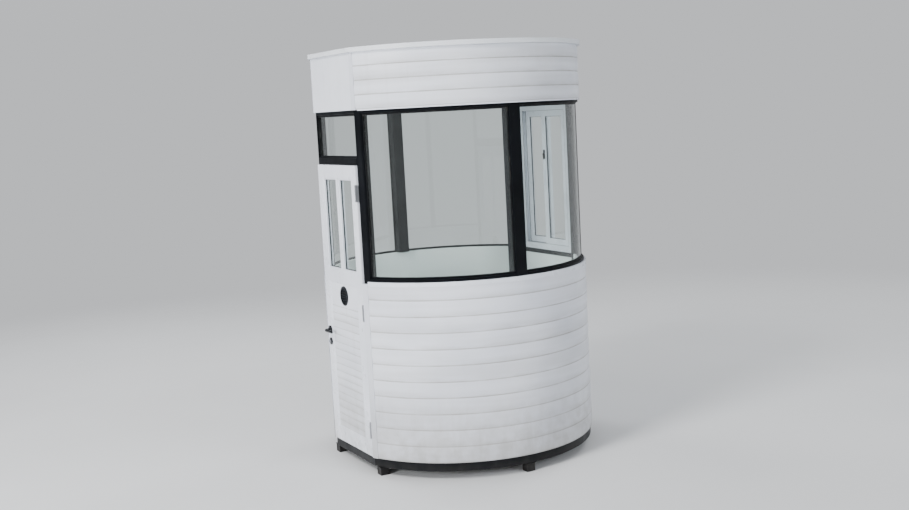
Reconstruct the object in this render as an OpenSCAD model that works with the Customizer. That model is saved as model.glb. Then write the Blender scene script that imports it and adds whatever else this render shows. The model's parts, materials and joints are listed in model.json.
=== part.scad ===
// Round security guard booth: a steel ring base and six posts, ribbed white
// cladding below, bent glass above, a flat side with a door and a flat side
// with a service window, and a deep white fascia under a flat roof.
// The door side faces -Y, the origin is the middle of the plan on the ground.

/* [Plan] */
// Radius of the outer face of the cladding
outer_r = 870; // [820:5:950]
// Width of the flat door side and of the flat window side, between the posts
flat_w = 610; // [580:5:640]

/* [Heights] */
// Height of the feet
foot_h = 55; // [40:1:80]
// Height of the steel base rails
base_rail_h = 55; // [40:1:70]
// Thickness of the floor board
floor_t = 18; // [15:1:25]
// Height of the cladding, from the top of the base rails
wall_h = 1100; // [1020:10:1150]
// Height of the rail on top of the wall
sill_rail_h = 30; // [20:1:40]
// Height of the glazing between the sill rail and the head rail
glazing_h = 1010; // [960:10:1060]
// Height of the rail over the glass
head_rail_h = 20; // [15:1:30]
// Height of the fascia
fascia_h = 345; // [300:5:380]
// Thickness of the roof panel
roof_t = 22; // [18:1:30]

/* [Walls] */
// Thickness of the cladding planks
cladding_t = 12; // [10:1:16]
// Thickness of the wall behind the cladding
wall_t = 58; // [50:1:64]
// Thickness of the wall's inner lining, which also covers the feet of the side posts
lining_t = 8; // [6:1:12]
// Width of the rail under the bent glass
sill_rail_w = 40; // [36:1:44]
// How far the straight rails and the rails over the glass stand proud of the wall inside
rail_lip = 6; // [4:1:10]
// Height of one cladding plank, joint to joint
plank_h = 200; // [180:5:220]
// Height of the open joint between two planks
joint_h = 7; // [5:1:9]
// Depth of the open joint between two planks
joint_d = 5; // [3:0.5:6]
// Height of the groove in the middle of a plank
groove_h = 4; // [3:1:6]
// Depth of the groove in the middle of a plank
groove_d = 3; // [2:0.5:4]
// How far the top and the foot of a plank fall back from its middle
plank_crown = 2.4; // [1:0.1:2.9]
// Height of the slanted lip at the top of a plank
plank_lip = 4; // [2:0.5:6]
// Width of the plain upright trims at the four corners of the cladding
corner_trim_w = 40; // [30:1:50]
// Width of the trims at the four corners of the fascia
fascia_trim_w = 28; // [20:1:40]

/* [Posts] */
// Width of the posts halfway along the sides
side_post_w = 75; // [60:1:90]
// Depth of the posts halfway along the sides
side_post_d = 95; // [80:1:110]
// Width of the four corner posts
corner_post_w = 45; // [40:1:60]
// Depth of the four corner posts
corner_post_d = 70; // [66:1:90]

/* [Base] */
// Width of the steel base rails
base_rail_w = 60; // [50:1:70]
// Side of a square foot
foot_w = 58; // [45:1:60]
// Distance of the two floor joists from the middle
joist_y = 260; // [200:5:320]
// Width of a floor joist
joist_w = 50; // [40:1:60]

/* [Glass] */
// Thickness of the bent glass
glass_t = 8; // [6:1:10]
// Distance of the glass back from the face of the cladding
glass_set = 30; // [24:1:36]
// Width of the beads that hold the glass on its rails
glazing_bead_w = 8; // [6:1:10]
// Height of the beads that hold the glass on its rails
glazing_bead_h = 12; // [8:1:18]

/* [Door] */
// Height of the door leaf
door_leaf_h = 1820; // [1780:5:1840]
// Thickness of the door leaf
door_t = 45; // [38:1:50]
// Gap round the door leaf
door_gap = 5; // [5:1:6]
// Width of the door's upright members
door_stile_w = 85; // [75:1:95]
// Height of the door's top member
door_top_rail_h = 95; // [80:1:110]
// Height of the two door panes
door_pane_h = 565; // [500:5:620]
// Width of the bar between the two door panes
door_mullion_w = 54; // [45:1:65]
// Height of the member under the door panes
door_lock_rail_h = 90; // [80:1:110]
// Height of the door's bottom member
door_bottom_rail_h = 90; // [70:1:110]
// Thickness of the door's glass
door_glass_t = 6; // [4:1:8]
// Width of the beads round the door's glass
door_bead_w = 10; // [8:1:14]
// Distance of the beads back from the faces of the door
door_bead_set = 4; // [2:0.5:6]
// Thickness of the door's lower panel
door_panel_t = 30; // [22:1:34]
// Distance of the lower panel back from the face of the door
door_panel_set = 3; // [2:0.5:5]
// Height of one rib of the lower panel
door_rib_h = 48; // [40:1:60]
// Height of the bar over the door
transom_h = 40; // [30:1:50]
// Side of the strip that the door closes against
door_stop_w = 14; // [12:1:18]

/* [Door vent] */
// Outer radius of the vent's flange
vent_r = 64; // [56:1:70]
// Radius of the hole for the vent
vent_hole_r = 54; // [48:1:56]
// Distance of the vent's centre below the top of the lower panel
vent_down = 85; // [76:1:110]
// Thickness of the vent's flange
vent_flange_t = 4; // [3:1:6]
// Number of slats in the vent
vent_slats = 6; // [4:1:8]
// Depth of one slat
vent_slat_d = 14; // [10:1:15]
// Tilt of the slats, with their outer edges down
vent_slat_tilt = 35; // [25:1:40]

/* [Door handle] */
// Height of the handles above the foot of the door
handle_up = 735; // [700:5:900]
// Distance of the handles from the edge of the door
handle_backset = 42; // [34:1:50]
// Radius of the round plate behind a handle
rose_r = 26; // [22:1:30]
// Thickness of the round plate behind a handle
rose_t = 9; // [6:1:12]
// Distance of the lock's round plate below the handle
lock_down = 78; // [72:1:95]
// Radius of the lock's round plate
lock_rose_r = 23.5; // [20:0.5:26]
// Thickness of the lock's round plate
lock_rose_t = 6.5; // [4:0.5:9]
// Radius of the neck of a handle
neck_r = 9; // [7:1:11]
// Reach of a handle from the face of the door
handle_reach = 48; // [42:1:56]
// Length of the lever from the middle of its neck
lever_l = 112; // [100:1:125]
// Height of the lever
lever_h = 20; // [16:1:24]
// Thickness of the lever
lever_t = 14; // [10:1:16]

/* [Hinges] */
// Number of hinges
hinge_n = 3; // [2:1:4]
// Height of a hinge
hinge_h = 100; // [80:5:120]
// Distance of the end hinges from the ends of the door
hinge_end = 170; // [150:5:250]
// Radius of the knuckles
knuckle_r = 5.5; // [5:0.1:5.8]
// Radius of the hinge pin
pin_r = 3; // [2.5:0.1:3.5]
// Thickness of a hinge plate
hinge_plate_t = 2.2; // [1.8:0.1:2.3]
// Depth of a hinge plate
hinge_plate_d = 38; // [30:1:42]

/* [Service window] */
// Width of the window frame's members
window_frame_w = 42; // [35:1:50]
// Depth of the window frame
window_frame_d = 58; // [56:1:64]
// Width of the members of a sash
sash_w = 42; // [35:1:50]
// Thickness of a sash
sash_t = 25; // [20:1:26]
// How far the two sashes overlap in the middle
sash_lap = 40; // [30:1:45]
// Thickness of the window's glass
window_glass_t = 5; // [4:1:6]
// How far the sashes reach into the channels of the frame
sash_seat = 9; // [6:1:12]
// Width of the beads round the window's glass
sash_bead_w = 8; // [6:1:12]
// Distance of the beads back from the faces of a sash
sash_bead_set = 2; // [1:0.5:4]
// Height of the grip on the sliding sash
sash_grip_h = 110; // [80:5:140]
// Width of the grip on the sliding sash
sash_grip_w = 14; // [10:1:18]
// How far the grip stands out from the sliding sash
sash_grip_d = 12; // [8:1:13]

/* [Fascia and roof] */
// Thickness of the fascia boards
fascia_t = 12; // [10:1:12]
// Number of planks in the curved fascia
fascia_planks = 2; // [2:1:3]
// Thickness of the ceiling board
ceiling_t = 10; // [8:1:15]
// How far the roof stands out over the fascia
roof_overhang = 16; // [10:1:25]
// Thickness of the edge channel round the roof
roof_trim_t = 3; // [2:0.5:4]
// Width of the edge channel's flanges
roof_trim_w = 40; // [30:1:60]

/* [Hidden] */
$fn = 180;

// Clearances
fit_gap = 0.3;
pin_clearance = 0.08;

// Plan
flat_half = flat_w / 2;
flat_y = sqrt(outer_r * outer_r - flat_half * flat_half);
frame_r = outer_r - cladding_t;
span = 2 * outer_r;
wall_inset = cladding_t + wall_t;
rail_t = wall_t + rail_lip;
rail_inset = cladding_t + rail_t;
bay_x = flat_half + corner_post_w;
bay_y = side_post_w / 2;

// Heights
base_top = foot_h + base_rail_h;
floor_top = base_top + floor_t;
wall_top = base_top + wall_h;
glazing_bottom = wall_top + sill_rail_h;
glazing_top = glazing_bottom + glazing_h;
head_top = glazing_top + head_rail_h;
fascia_top = head_top + fascia_h;
roof_bottom = fascia_top + roof_trim_t;
total_h = roof_bottom + roof_t + roof_trim_t;

// Corner posts
corner_post_y = sqrt(frame_r * frame_r - flat_half * flat_half);
corner_post_back_y = corner_post_y - corner_post_d;

// Door
leaf_w = flat_w - 2 * door_gap;
leaf_half = leaf_w / 2;
leaf_bottom = base_top + door_gap;
leaf_top = leaf_bottom + door_leaf_h;
leaf_inner_y = flat_y - door_t;
transom_bottom = leaf_top + door_gap;
transom_top = transom_bottom + transom_h;
stop_y = leaf_inner_y - door_gap;
door_pane_w = (leaf_w - 2 * door_stile_w - door_mullion_w) / 2;
door_pane_top = leaf_top - door_top_rail_h;
door_pane_bottom = door_pane_top - door_pane_h;
door_panel_top = door_pane_bottom - door_lock_rail_h;
door_panel_bottom = leaf_bottom + door_bottom_rail_h;
door_panel_w = leaf_w - 2 * door_stile_w;
door_panel_opening = [-door_panel_w / 2, door_panel_bottom, door_panel_w / 2, door_panel_top];
door_glass_y = flat_y - (door_t + door_glass_t) / 2;
panel_outer_y = flat_y - door_panel_set;
panel_inner_y = panel_outer_y - door_panel_t;
vent_z = door_panel_top - vent_down;
handle_x = handle_backset - leaf_half;
handle_z = leaf_bottom + handle_up;

// Hinges
hinge_x = leaf_half + door_gap / 2;
hinge_y = flat_y + knuckle_r + fit_gap;
knuckle_h = hinge_h / 3;
hinge_step = (door_leaf_h - 2 * hinge_end) / (hinge_n - 1);
hinge_zs = [for (i = [0 : hinge_n - 1]) leaf_bottom + hinge_end + i * hinge_step];

// Service window
window_y = corner_post_y - window_frame_d;
window_opening = [
    window_frame_w - flat_half, glazing_bottom + window_frame_w,
    flat_half - window_frame_w, glazing_top - window_frame_w
];
sash_spare = (window_frame_d - 2 * sash_t) / 3;
inner_sash_y = window_y + sash_spare;
outer_sash_y = inner_sash_y + sash_t + sash_spare;
grip_base_t = 3;
grip_fin_t = 5;

// Glazing beads
bead_insets = [glass_set - fit_gap - glazing_bead_w, glass_set + glass_t + fit_gap];

// Outline of the booth in plan, drawn in by an inset

module outline(inset = 0) {
    intersection() {
        circle(r = outer_r - inset);
        square([2 * span, 2 * (flat_y - inset)], center = true);
    }
}

module band(inset_out, inset_in) {
    difference() {
        outline(inset_out);
        outline(inset_in);
    }
}

// The part of a band between a corner post and a side post; sx and sy pick the side
module in_bay(sx, sy) {
    intersection() {
        children();
        to_corner(sx, sy) translate([bay_x, bay_y]) square(span);
    }
}

module to_corner(sx, sy) {
    mirror([sx < 0 ? 1 : 0, 0, 0]) mirror([0, sy < 0 ? 1 : 0, 0]) children();
}

module bay_slab(sx, sy, inset_out, inset_in, z, h) {
    translate([0, 0, z]) linear_extrude(h) in_bay(sx, sy) band(inset_out, inset_in);
}

// A slab between the two front (sy = -1) or the two rear posts, its outer face set in by inset
module flat_slab(sy, inset, t, z, h) {
    translate([-flat_half, sy > 0 ? flat_y - inset - t : inset - flat_y, z]) cube([flat_w, t, h]);
}

// A box given by its lowest and highest corners
module block(low, high) {
    translate(low) cube(high - low);
}

// A plate in the XZ plane, with its faces at y and y + t
module upright_plate(y, t) {
    translate([0, y + t, 0]) rotate([90, 0, 0]) linear_extrude(t) children();
}

// A rectangle is a list of its left, lower, right and upper edges
module rect(r) {
    translate([r[0], r[1]]) square([r[2] - r[0], r[3] - r[1]]);
}

function grown(r, by) = [r[0] - by, r[1] - by, r[2] + by, r[3] + by];

// What a pane takes out of a member y to y + t: the opening that is seen, the slot for the edge
// of the glass, and a step round the opening in each face, as the beads lie back from the faces
module glazing_cut(opening, y, t, glass, bead_w, bead_set) {
    slot_t = glass + 2 * fit_gap;
    upright_plate(y - 1, t + 2) rect(opening);
    upright_plate(y + (t - slot_t) / 2, slot_t) rect(grown(opening, bead_w));
    for (step_y = [y - 1, y + t - bead_set])
        upright_plate(step_y, bead_set + 1) rect(grown(opening, bead_w));
}

// Cladding

// Face of one plank: an open joint at its foot, a crowned face with a groove that slants
// in from below its middle, and a slanted lip that meets the next joint
function plank_points(face, z, h) =
    let (
        low_a = z + joint_h, high_a = z + (h + joint_h - groove_h) / 2,
        low_b = high_a + groove_h, high_b = z + h - plank_lip
    ) [
        [face - joint_d, z], [face - joint_d, low_a], [face - plank_crown, low_a],
        [face - plank_crown / 4, (low_a + high_a) / 2], [face, high_a],
        [face - groove_d, low_b], [face, low_b],
        [face - plank_crown / 4, (low_b + high_b) / 2], [face - plank_crown, high_b]
    ];

// Upright section through a stack of planks, with its outer face at x = face
module plank_section(face, t, h, plank) {
    count = ceil(h / plank);
    outer_points = [for (i = [0 : count - 1]) each plank_points(face, i * plank, plank)];
    intersection() {
        polygon(concat(outer_points, [
            [face - joint_d, count * plank], [face - t, count * plank], [face - t, 0]
        ]));
        translate([face - 2 * t, 0]) square([3 * t, h]);
    }
}

// A curved skin of planks on the left (sx = -1) or the right (sx = 1), past x0
module curved_planks(sx, x0, t, h, plank) {
    intersection() {
        rotate_extrude() plank_section(outer_r, t, h, plank);
        translate([sx > 0 ? x0 : -x0 - span, -span, -1]) cube([span, 2 * span, h + 2]);
    }
}

module flat_planks(half_w, y, t, h, plank) {
    translate([-half_w, 0, 0]) rotate([90, 0, 90]) linear_extrude(2 * half_w)
        plank_section(y, t, h, plank);
}

// Base and floor

module foot(x, y) {
    translate([x, y, foot_h / 2]) cube([foot_w, foot_w, foot_h], center = true);
}

module feet() {
    ring_r = frame_r - base_rail_w / 2;
    corner_x = flat_half + corner_post_w / 2;
    corner_y = sqrt(ring_r * ring_r - corner_x * corner_x);
    color("#15181d") {
        for (sx = [-1, 1]) {
            foot(sx * ring_r, 0);
            for (sy = [-1, 1]) foot(sx * corner_x, sy * corner_y);
        }
    }
}

module base_rail(sx) {
    color("#15181d") translate([0, 0, foot_h]) linear_extrude(base_rail_h)
        intersection() {
            band(cladding_t, cladding_t + base_rail_w);
            translate([sx > 0 ? flat_half : -flat_half - span, -span]) square([span, 2 * span]);
        }
}

module base_rail_left() { base_rail(-1); }
module base_rail_right() { base_rail(1); }

module base_crossbeams() {
    color("#15181d") {
        for (sy = [-1, 1]) flat_slab(sy, cladding_t, base_rail_w, foot_h, base_rail_h);
        translate([0, 0, foot_h]) linear_extrude(base_rail_h) intersection() {
            outline(cladding_t + base_rail_w);
            for (sy = [-1, 1])
                translate([-span, sy * joist_y - joist_w / 2]) square([2 * span, joist_w]);
        }
    }
}

module floor_deck() {
    color("#6b6a66") translate([0, 0, base_top]) linear_extrude(floor_t)
        difference() {
            outline(cladding_t + fit_gap);
            translate([-flat_half, -span]) square([flat_w, span - stop_y]);
        }
}

// Posts

module corner_post(sx, sy) {
    frame_y = sqrt(frame_r * frame_r - bay_x * bay_x);
    color("#15181d") translate([0, 0, floor_top]) linear_extrude(head_top - floor_top)
        to_corner(sx, sy) polygon([
            [flat_half, corner_post_back_y], [bay_x, corner_post_back_y],
            [bay_x, frame_y], [flat_half, corner_post_y]
        ]);
}

// A side post: below the sill it stops short of the lining, above it stands out inside
module side_post(sx) {
    face_x = sqrt(pow(frame_r - fit_gap, 2) - bay_y * bay_y);
    foot_x = outer_r - wall_inset + lining_t + fit_gap;
    color("#15181d") mirror([sx < 0 ? 1 : 0, 0, 0]) {
        block([foot_x, -bay_y, floor_top], [face_x, bay_y, head_top]);
        block([face_x - side_post_d, -bay_y, glazing_bottom], [face_x, bay_y, head_top]);
    }
}

module door_post_left() { corner_post(-1, -1); }
module door_post_right() { corner_post(1, -1); }
module window_post_left() { corner_post(-1, 1); }
module window_post_right() { corner_post(1, 1); }
module side_post_left() { side_post(-1); }
module side_post_right() { side_post(1); }

// Lower walls

// A wall in a bay: the core, the ledge behind the sill rail, and the lining, which runs on
// over the side post
module wall(sx, sy) {
    color("#c3cac8") {
        bay_slab(sx, sy, cladding_t, wall_inset, floor_top, wall_top - floor_top);
        bay_slab(sx, sy, cladding_t + sill_rail_w, wall_inset, wall_top, sill_rail_h);
        translate([0, 0, floor_top]) linear_extrude(glazing_bottom - floor_top) intersection() {
            band(wall_inset - lining_t, wall_inset);
            to_corner(sx, sy) translate([bay_x, 0]) square(span);
        }
    }
}

module wall_front_left() { wall(-1, -1); }
module wall_front_right() { wall(1, -1); }
module wall_rear_left() { wall(-1, 1); }
module wall_rear_right() { wall(1, 1); }

module wall_under_window() {
    color("#c3cac8") flat_slab(1, cladding_t, wall_t, floor_top, wall_top - floor_top);
}

module cladding(sx) {
    color("#d7dce2") translate([0, 0, base_top])
        curved_planks(sx, flat_half + corner_trim_w, cladding_t, wall_h, plank_h);
}

module cladding_left() { cladding(-1); }
module cladding_right() { cladding(1); }

module cladding_under_window() {
    color("#d7dce2") translate([0, 0, base_top])
        flat_planks(flat_half, flat_y, cladding_t, wall_h, plank_h);
}

// The four strips of skin that start at the corners, as wide as w, at a height
module corner_strips(w, t, z, h) {
    translate([0, 0, z]) linear_extrude(h)
        for (sx = [-1, 1], sy = [-1, 1])
            to_corner(sx, sy) intersection() {
                difference() {
                    circle(r = outer_r);
                    circle(r = outer_r - t);
                }
                translate([flat_half, 0]) square([w, span]);
            }
}

module corner_trims() {
    color("#c4c9d0") {
        corner_strips(corner_trim_w, cladding_t, base_top, wall_h);
        corner_strips(fascia_trim_w, fascia_t, head_top, fascia_h);
    }
}

// Sill rails

// The two beads along the glass of a bay, at a height
module bay_beads(sx, sy, z) {
    for (inset = bead_insets)
        bay_slab(sx, sy, inset, inset + glazing_bead_w, z, glazing_bead_h);
}

// The two beads along the pane over the door, at a height
module transom_beads(z) {
    for (inset = bead_insets) flat_slab(-1, inset, glazing_bead_w, z, glazing_bead_h);
}

module sill_rails(sx) {
    color("#15181d") for (sy = [-1, 1]) {
        bay_slab(sx, sy, cladding_t, cladding_t + sill_rail_w, wall_top, sill_rail_h);
        bay_beads(sx, sy, glazing_bottom);
    }
}

module sill_rails_left() { sill_rails(-1); }
module sill_rails_right() { sill_rails(1); }

module window_sill() {
    color("#15181d") flat_slab(1, cladding_t, rail_t, wall_top, sill_rail_h);
}

// Glazing

module bay_glass(sx, sy) {
    color("#9fb9b4", 0.35)
        bay_slab(sx, sy, glass_set, glass_set + glass_t, glazing_bottom, glazing_h);
}

module glass_front_left() { bay_glass(-1, -1); }
module glass_front_right() { bay_glass(1, -1); }
module glass_rear_left() { bay_glass(-1, 1); }
module glass_rear_right() { bay_glass(1, 1); }

module head_rails(sx) {
    color("#15181d") for (sy = [-1, 1]) {
        bay_slab(sx, sy, cladding_t, rail_inset, glazing_top, head_rail_h);
        bay_beads(sx, sy, glazing_top - glazing_bead_h);
    }
}

module head_rails_left() { head_rails(-1); }
module head_rails_right() { head_rails(1); }

module head_rails_flat() {
    color("#15181d") {
        for (sy = [-1, 1]) flat_slab(sy, cladding_t, rail_t, glazing_top, head_rail_h);
        transom_beads(glazing_top - glazing_bead_h);
    }
}

module door_stop() {
    color("#15181d") upright_plate(-stop_y, door_stop_w) difference() {
        rect([-flat_half, floor_top, flat_half, transom_bottom]);
        rect([door_stop_w - flat_half, floor_top - 1,
              flat_half - door_stop_w, transom_bottom - door_stop_w]);
    }
}

module door_transom() {
    color("#15181d") {
        flat_slab(-1, cladding_t, rail_t, transom_bottom, transom_h);
        transom_beads(transom_top);
    }
}

module transom_glass() {
    color("#9fb9b4", 0.35)
        flat_slab(-1, glass_set, glass_t, transom_top, glazing_top - transom_top);
}

// Service window

// Frame with a channel for each sash
module window_frame() {
    color("#dfe3e6") difference() {
        upright_plate(window_y, window_frame_d)
            rect([-flat_half, glazing_bottom, flat_half, glazing_top]);
        upright_plate(window_y - 1, window_frame_d + 2) rect(window_opening);
        for (y = [inner_sash_y, outer_sash_y])
            upright_plate(y - fit_gap, sash_t + 2 * fit_gap) rect(grown(window_opening, sash_seat));
    }
}

// A sash fills one side of the frame: side is -1 on the left and 1 on the right
function sash_rect(side) = let (r = grown(window_opening, sash_seat), edge = sash_lap / 2)
    side < 0 ? [r[0], r[1], edge, r[3]] : [-edge, r[1], r[2], r[3]];

function sash_opening(side) = let (r = grown(window_opening, -sash_w), edge = sash_lap / 2 - sash_w)
    side < 0 ? [r[0], r[1], edge, r[3]] : [-edge, r[1], r[2], r[3]];

module sash(side, y) {
    difference() {
        upright_plate(y, sash_t) rect(sash_rect(side));
        glazing_cut(sash_opening(side), y, sash_t, window_glass_t, sash_bead_w, sash_bead_set);
    }
}

module window_sash_fixed() {
    color("#dfe3e6") sash(-1, outer_sash_y);
}

// Sliding sash with an upright grip on the stile that leads
module window_sash_sliding() {
    grip_x = (sash_w - sash_lap) / 2;
    grip_z = (glazing_bottom + glazing_top) / 2;
    color("#dfe3e6") {
        sash(1, inner_sash_y);
        block([grip_x - sash_grip_w / 2, inner_sash_y - grip_base_t, grip_z - sash_grip_h / 2],
              [grip_x + sash_grip_w / 2, inner_sash_y + 1, grip_z + sash_grip_h / 2]);
        block([grip_x - grip_fin_t / 2, inner_sash_y - sash_grip_d, grip_z - sash_grip_h / 2],
              [grip_x + grip_fin_t / 2, inner_sash_y, grip_z + sash_grip_h / 2]);
    }
}

module window_glass() {
    pane_set = (sash_t - window_glass_t) / 2;
    color("#9fb9b4", 0.35) {
        upright_plate(outer_sash_y + pane_set, window_glass_t)
            rect(grown(sash_opening(-1), sash_bead_w));
        upright_plate(inner_sash_y + pane_set, window_glass_t)
            rect(grown(sash_opening(1), sash_bead_w));
    }
}

// Fascia and roof

module ceiling() {
    color("#d9dde0") translate([0, 0, head_top]) linear_extrude(ceiling_t) outline(cladding_t);
}

module fascia_flat(sy) {
    color("#e2e5ea") flat_slab(sy, 0, fascia_t, head_top, fascia_h);
}

module fascia_curved(sx) {
    color("#d7dce2") translate([0, 0, head_top])
        curved_planks(sx, flat_half + fascia_trim_w, fascia_t, fascia_h, fascia_h / fascia_planks);
}

module fascia_front() { fascia_flat(-1); }
module fascia_rear() { fascia_flat(1); }
module fascia_left() { fascia_curved(-1); }
module fascia_right() { fascia_curved(1); }

module roof_deck() {
    color("#8d8f90") translate([0, 0, fascia_top - floor_t]) linear_extrude(floor_t)
        outline(fascia_t);
}

module roof_panel() {
    color("#b9bdc0") translate([0, 0, roof_bottom]) linear_extrude(roof_t)
        outline(roof_trim_t - roof_overhang);
}

// Edge channel: a lip with a flange under and a flange over the edge of the roof panel
module roof_trim() {
    edge = -roof_overhang;
    color("#e2e5ea") translate([0, 0, fascia_top]) {
        linear_extrude(roof_trim_t) band(edge, edge + roof_trim_w);
        linear_extrude(total_h - fascia_top) band(edge, edge + roof_trim_t);
        translate([0, 0, roof_trim_t + roof_t]) linear_extrude(roof_trim_t)
            band(edge, edge + roof_trim_w);
    }
}

// Door

// What is seen of a pane: side is -1 on the left and 1 on the right
function door_pane(side) =
    let (x = side < 0 ? door_stile_w - leaf_half : door_mullion_w / 2)
    [x, door_pane_bottom, x + door_pane_w, door_pane_top];

module door_frame() {
    color("#e2e5ea") difference() {
        upright_plate(-flat_y, door_t) rect([-leaf_half, leaf_bottom, leaf_half, leaf_top]);
        for (side = [-1, 1])
            glazing_cut(door_pane(side), -flat_y, door_t, door_glass_t, door_bead_w, door_bead_set);
        upright_plate(-flat_y - 1, door_t + 2) rect(door_panel_opening);
    }
}

// Ribbed lower panel with the round hole for the vent
module door_panel() {
    rib_n = floor((door_panel_top - door_panel_bottom) / door_rib_h);
    color("#dfe3e8") difference() {
        upright_plate(-panel_outer_y, door_panel_t) rect(door_panel_opening);
        for (i = [1 : rib_n])
            if (door_panel_bottom + i * door_rib_h < vent_z - vent_r - joint_h)
                translate([0, -panel_outer_y, door_panel_bottom + i * door_rib_h])
                    rotate([45, 0, 0]) cube([door_panel_w + 2, groove_d, groove_d], center = true);
        translate([0, -panel_inner_y + 1, vent_z]) rotate([90, 0, 0])
            cylinder(r = vent_hole_r, h = door_panel_t + 2);
    }
}

module door_glass() {
    color("#9fb9b4", 0.35) upright_plate(-door_glass_y - door_glass_t, door_glass_t)
        for (side = [-1, 1]) rect(grown(door_pane(side), door_bead_w));
}

// Round vent: a flange on the panel, a sleeve through it and slats across
module door_vent() {
    sleeve_r = vent_hole_r - fit_gap;
    sleeve_t = 3;
    slat_t = 2.5;
    slat_set = vent_slat_d / 2 - vent_flange_t;
    slat_step = 2 * sleeve_r / (vent_slats + 1);
    color("#101318") translate([0, -panel_outer_y, vent_z]) rotate([90, 0, 0]) {
        difference() {
            union() {
                cylinder(r = vent_r, h = vent_flange_t);
                translate([0, 0, -door_panel_t]) cylinder(r = sleeve_r, h = door_panel_t + 1);
            }
            translate([0, 0, -door_panel_t - 1])
                cylinder(r = sleeve_r - sleeve_t, h = door_panel_t + vent_flange_t + 2);
        }
        intersection() {
            translate([0, 0, -vent_slat_d - slat_set])
                cylinder(r = sleeve_r - sleeve_t / 2, h = vent_slat_d + slat_set + vent_flange_t);
            for (i = [1 : vent_slats])
                translate([0, i * slat_step - sleeve_r, -slat_set]) rotate([vent_slat_tilt, 0, 0])
                    cube([2 * vent_r, slat_t, vent_slat_d], center = true);
        }
    }
}

// One lever on its round plate, standing out along +Z with the lever towards +X, and the
// round plate of the lock below it
module lever_handle() {
    lever_z = handle_reach - lever_t;
    cylinder(r = rose_r, h = rose_t);
    translate([0, -lock_down, 0]) cylinder(r = lock_rose_r, h = lock_rose_t);
    cylinder(r = neck_r, h = lever_z + lever_t / 2);
    translate([0, 0, lever_z]) linear_extrude(lever_t) {
        circle(r = lever_h / 2);
        translate([0, -lever_h / 2]) square([lever_l - lever_h / 2, lever_h]);
        translate([lever_l - lever_h / 2, 0]) circle(r = lever_h / 2);
    }
}

module door_handles() {
    color("#101318") {
        translate([handle_x, -flat_y, handle_z]) rotate([90, 0, 0]) lever_handle();
        translate([handle_x, -leaf_inner_y, handle_z])
            mirror([0, 1, 0]) rotate([90, 0, 0]) lever_handle();
    }
}

// Hinges: plates in the gap beside the leaf, knuckles in front of it

module hinge_plate(x, z) {
    block([x, -hinge_y + fit_gap, z], [x + hinge_plate_t, -flat_y + hinge_plate_d, z + hinge_h]);
}

module knuckle(z, h, bore_r) {
    translate([hinge_x, -hinge_y, z]) difference() {
        cylinder(r = knuckle_r, h = h);
        translate([0, 0, -1]) cylinder(r = bore_r, h = h + 2);
    }
}

module post_hinge_halves() {
    color("#b8bcc0") for (z = hinge_zs) {
        foot_z = z - hinge_h / 2;
        difference() {
            hinge_plate(flat_half - hinge_plate_t, foot_z);
            translate([hinge_x, -hinge_y, foot_z + knuckle_h - fit_gap])
                cylinder(r = knuckle_r + fit_gap, h = knuckle_h + 2 * fit_gap);
        }
        for (i = [0, 2])
            translate([hinge_x, -hinge_y, foot_z + i * knuckle_h])
                cylinder(r = knuckle_r, h = knuckle_h);
        translate([hinge_x, -hinge_y, foot_z]) cylinder(r = pin_r, h = hinge_h);
    }
}

module door_hinge_halves() {
    color("#b8bcc0") for (z = hinge_zs) {
        foot_z = z - hinge_h / 2;
        difference() {
            hinge_plate(leaf_half, foot_z);
            for (i = [0, 2])
                translate([hinge_x, -hinge_y, foot_z + i * knuckle_h - fit_gap])
                    cylinder(r = knuckle_r + fit_gap, h = knuckle_h + 2 * fit_gap);
            translate([hinge_x, -hinge_y, foot_z]) cylinder(r = pin_r + pin_clearance, h = hinge_h);
        }
        knuckle(foot_z + knuckle_h + fit_gap, knuckle_h - 2 * fit_gap, pin_r + pin_clearance);
    }
}

feet();
base_rail_left();
base_rail_right();
base_crossbeams();
floor_deck();
door_post_left();
door_post_right();
side_post_left();
side_post_right();
window_post_left();
window_post_right();
wall_front_left();
wall_front_right();
wall_rear_left();
wall_rear_right();
wall_under_window();
cladding_left();
cladding_right();
cladding_under_window();
corner_trims();
sill_rails_left();
sill_rails_right();
window_sill();
glass_front_left();
glass_front_right();
glass_rear_left();
glass_rear_right();
head_rails_left();
head_rails_right();
head_rails_flat();
door_stop();
door_transom();
transom_glass();
window_frame();
window_sash_fixed();
window_sash_sliding();
window_glass();
ceiling();
fascia_front();
fascia_rear();
fascia_left();
fascia_right();
roof_deck();
roof_panel();
roof_trim();
post_hinge_halves();
door_frame();
door_panel();
door_glass();
door_vent();
door_handles();
door_hinge_halves();
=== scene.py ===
"""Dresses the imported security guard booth: finer shapes, finishes, light and camera."""

import json
from math import acos, asin, cos, pi, radians, sin, sqrt

import bmesh
import bpy
from mathutils import Matrix, Vector


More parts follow.
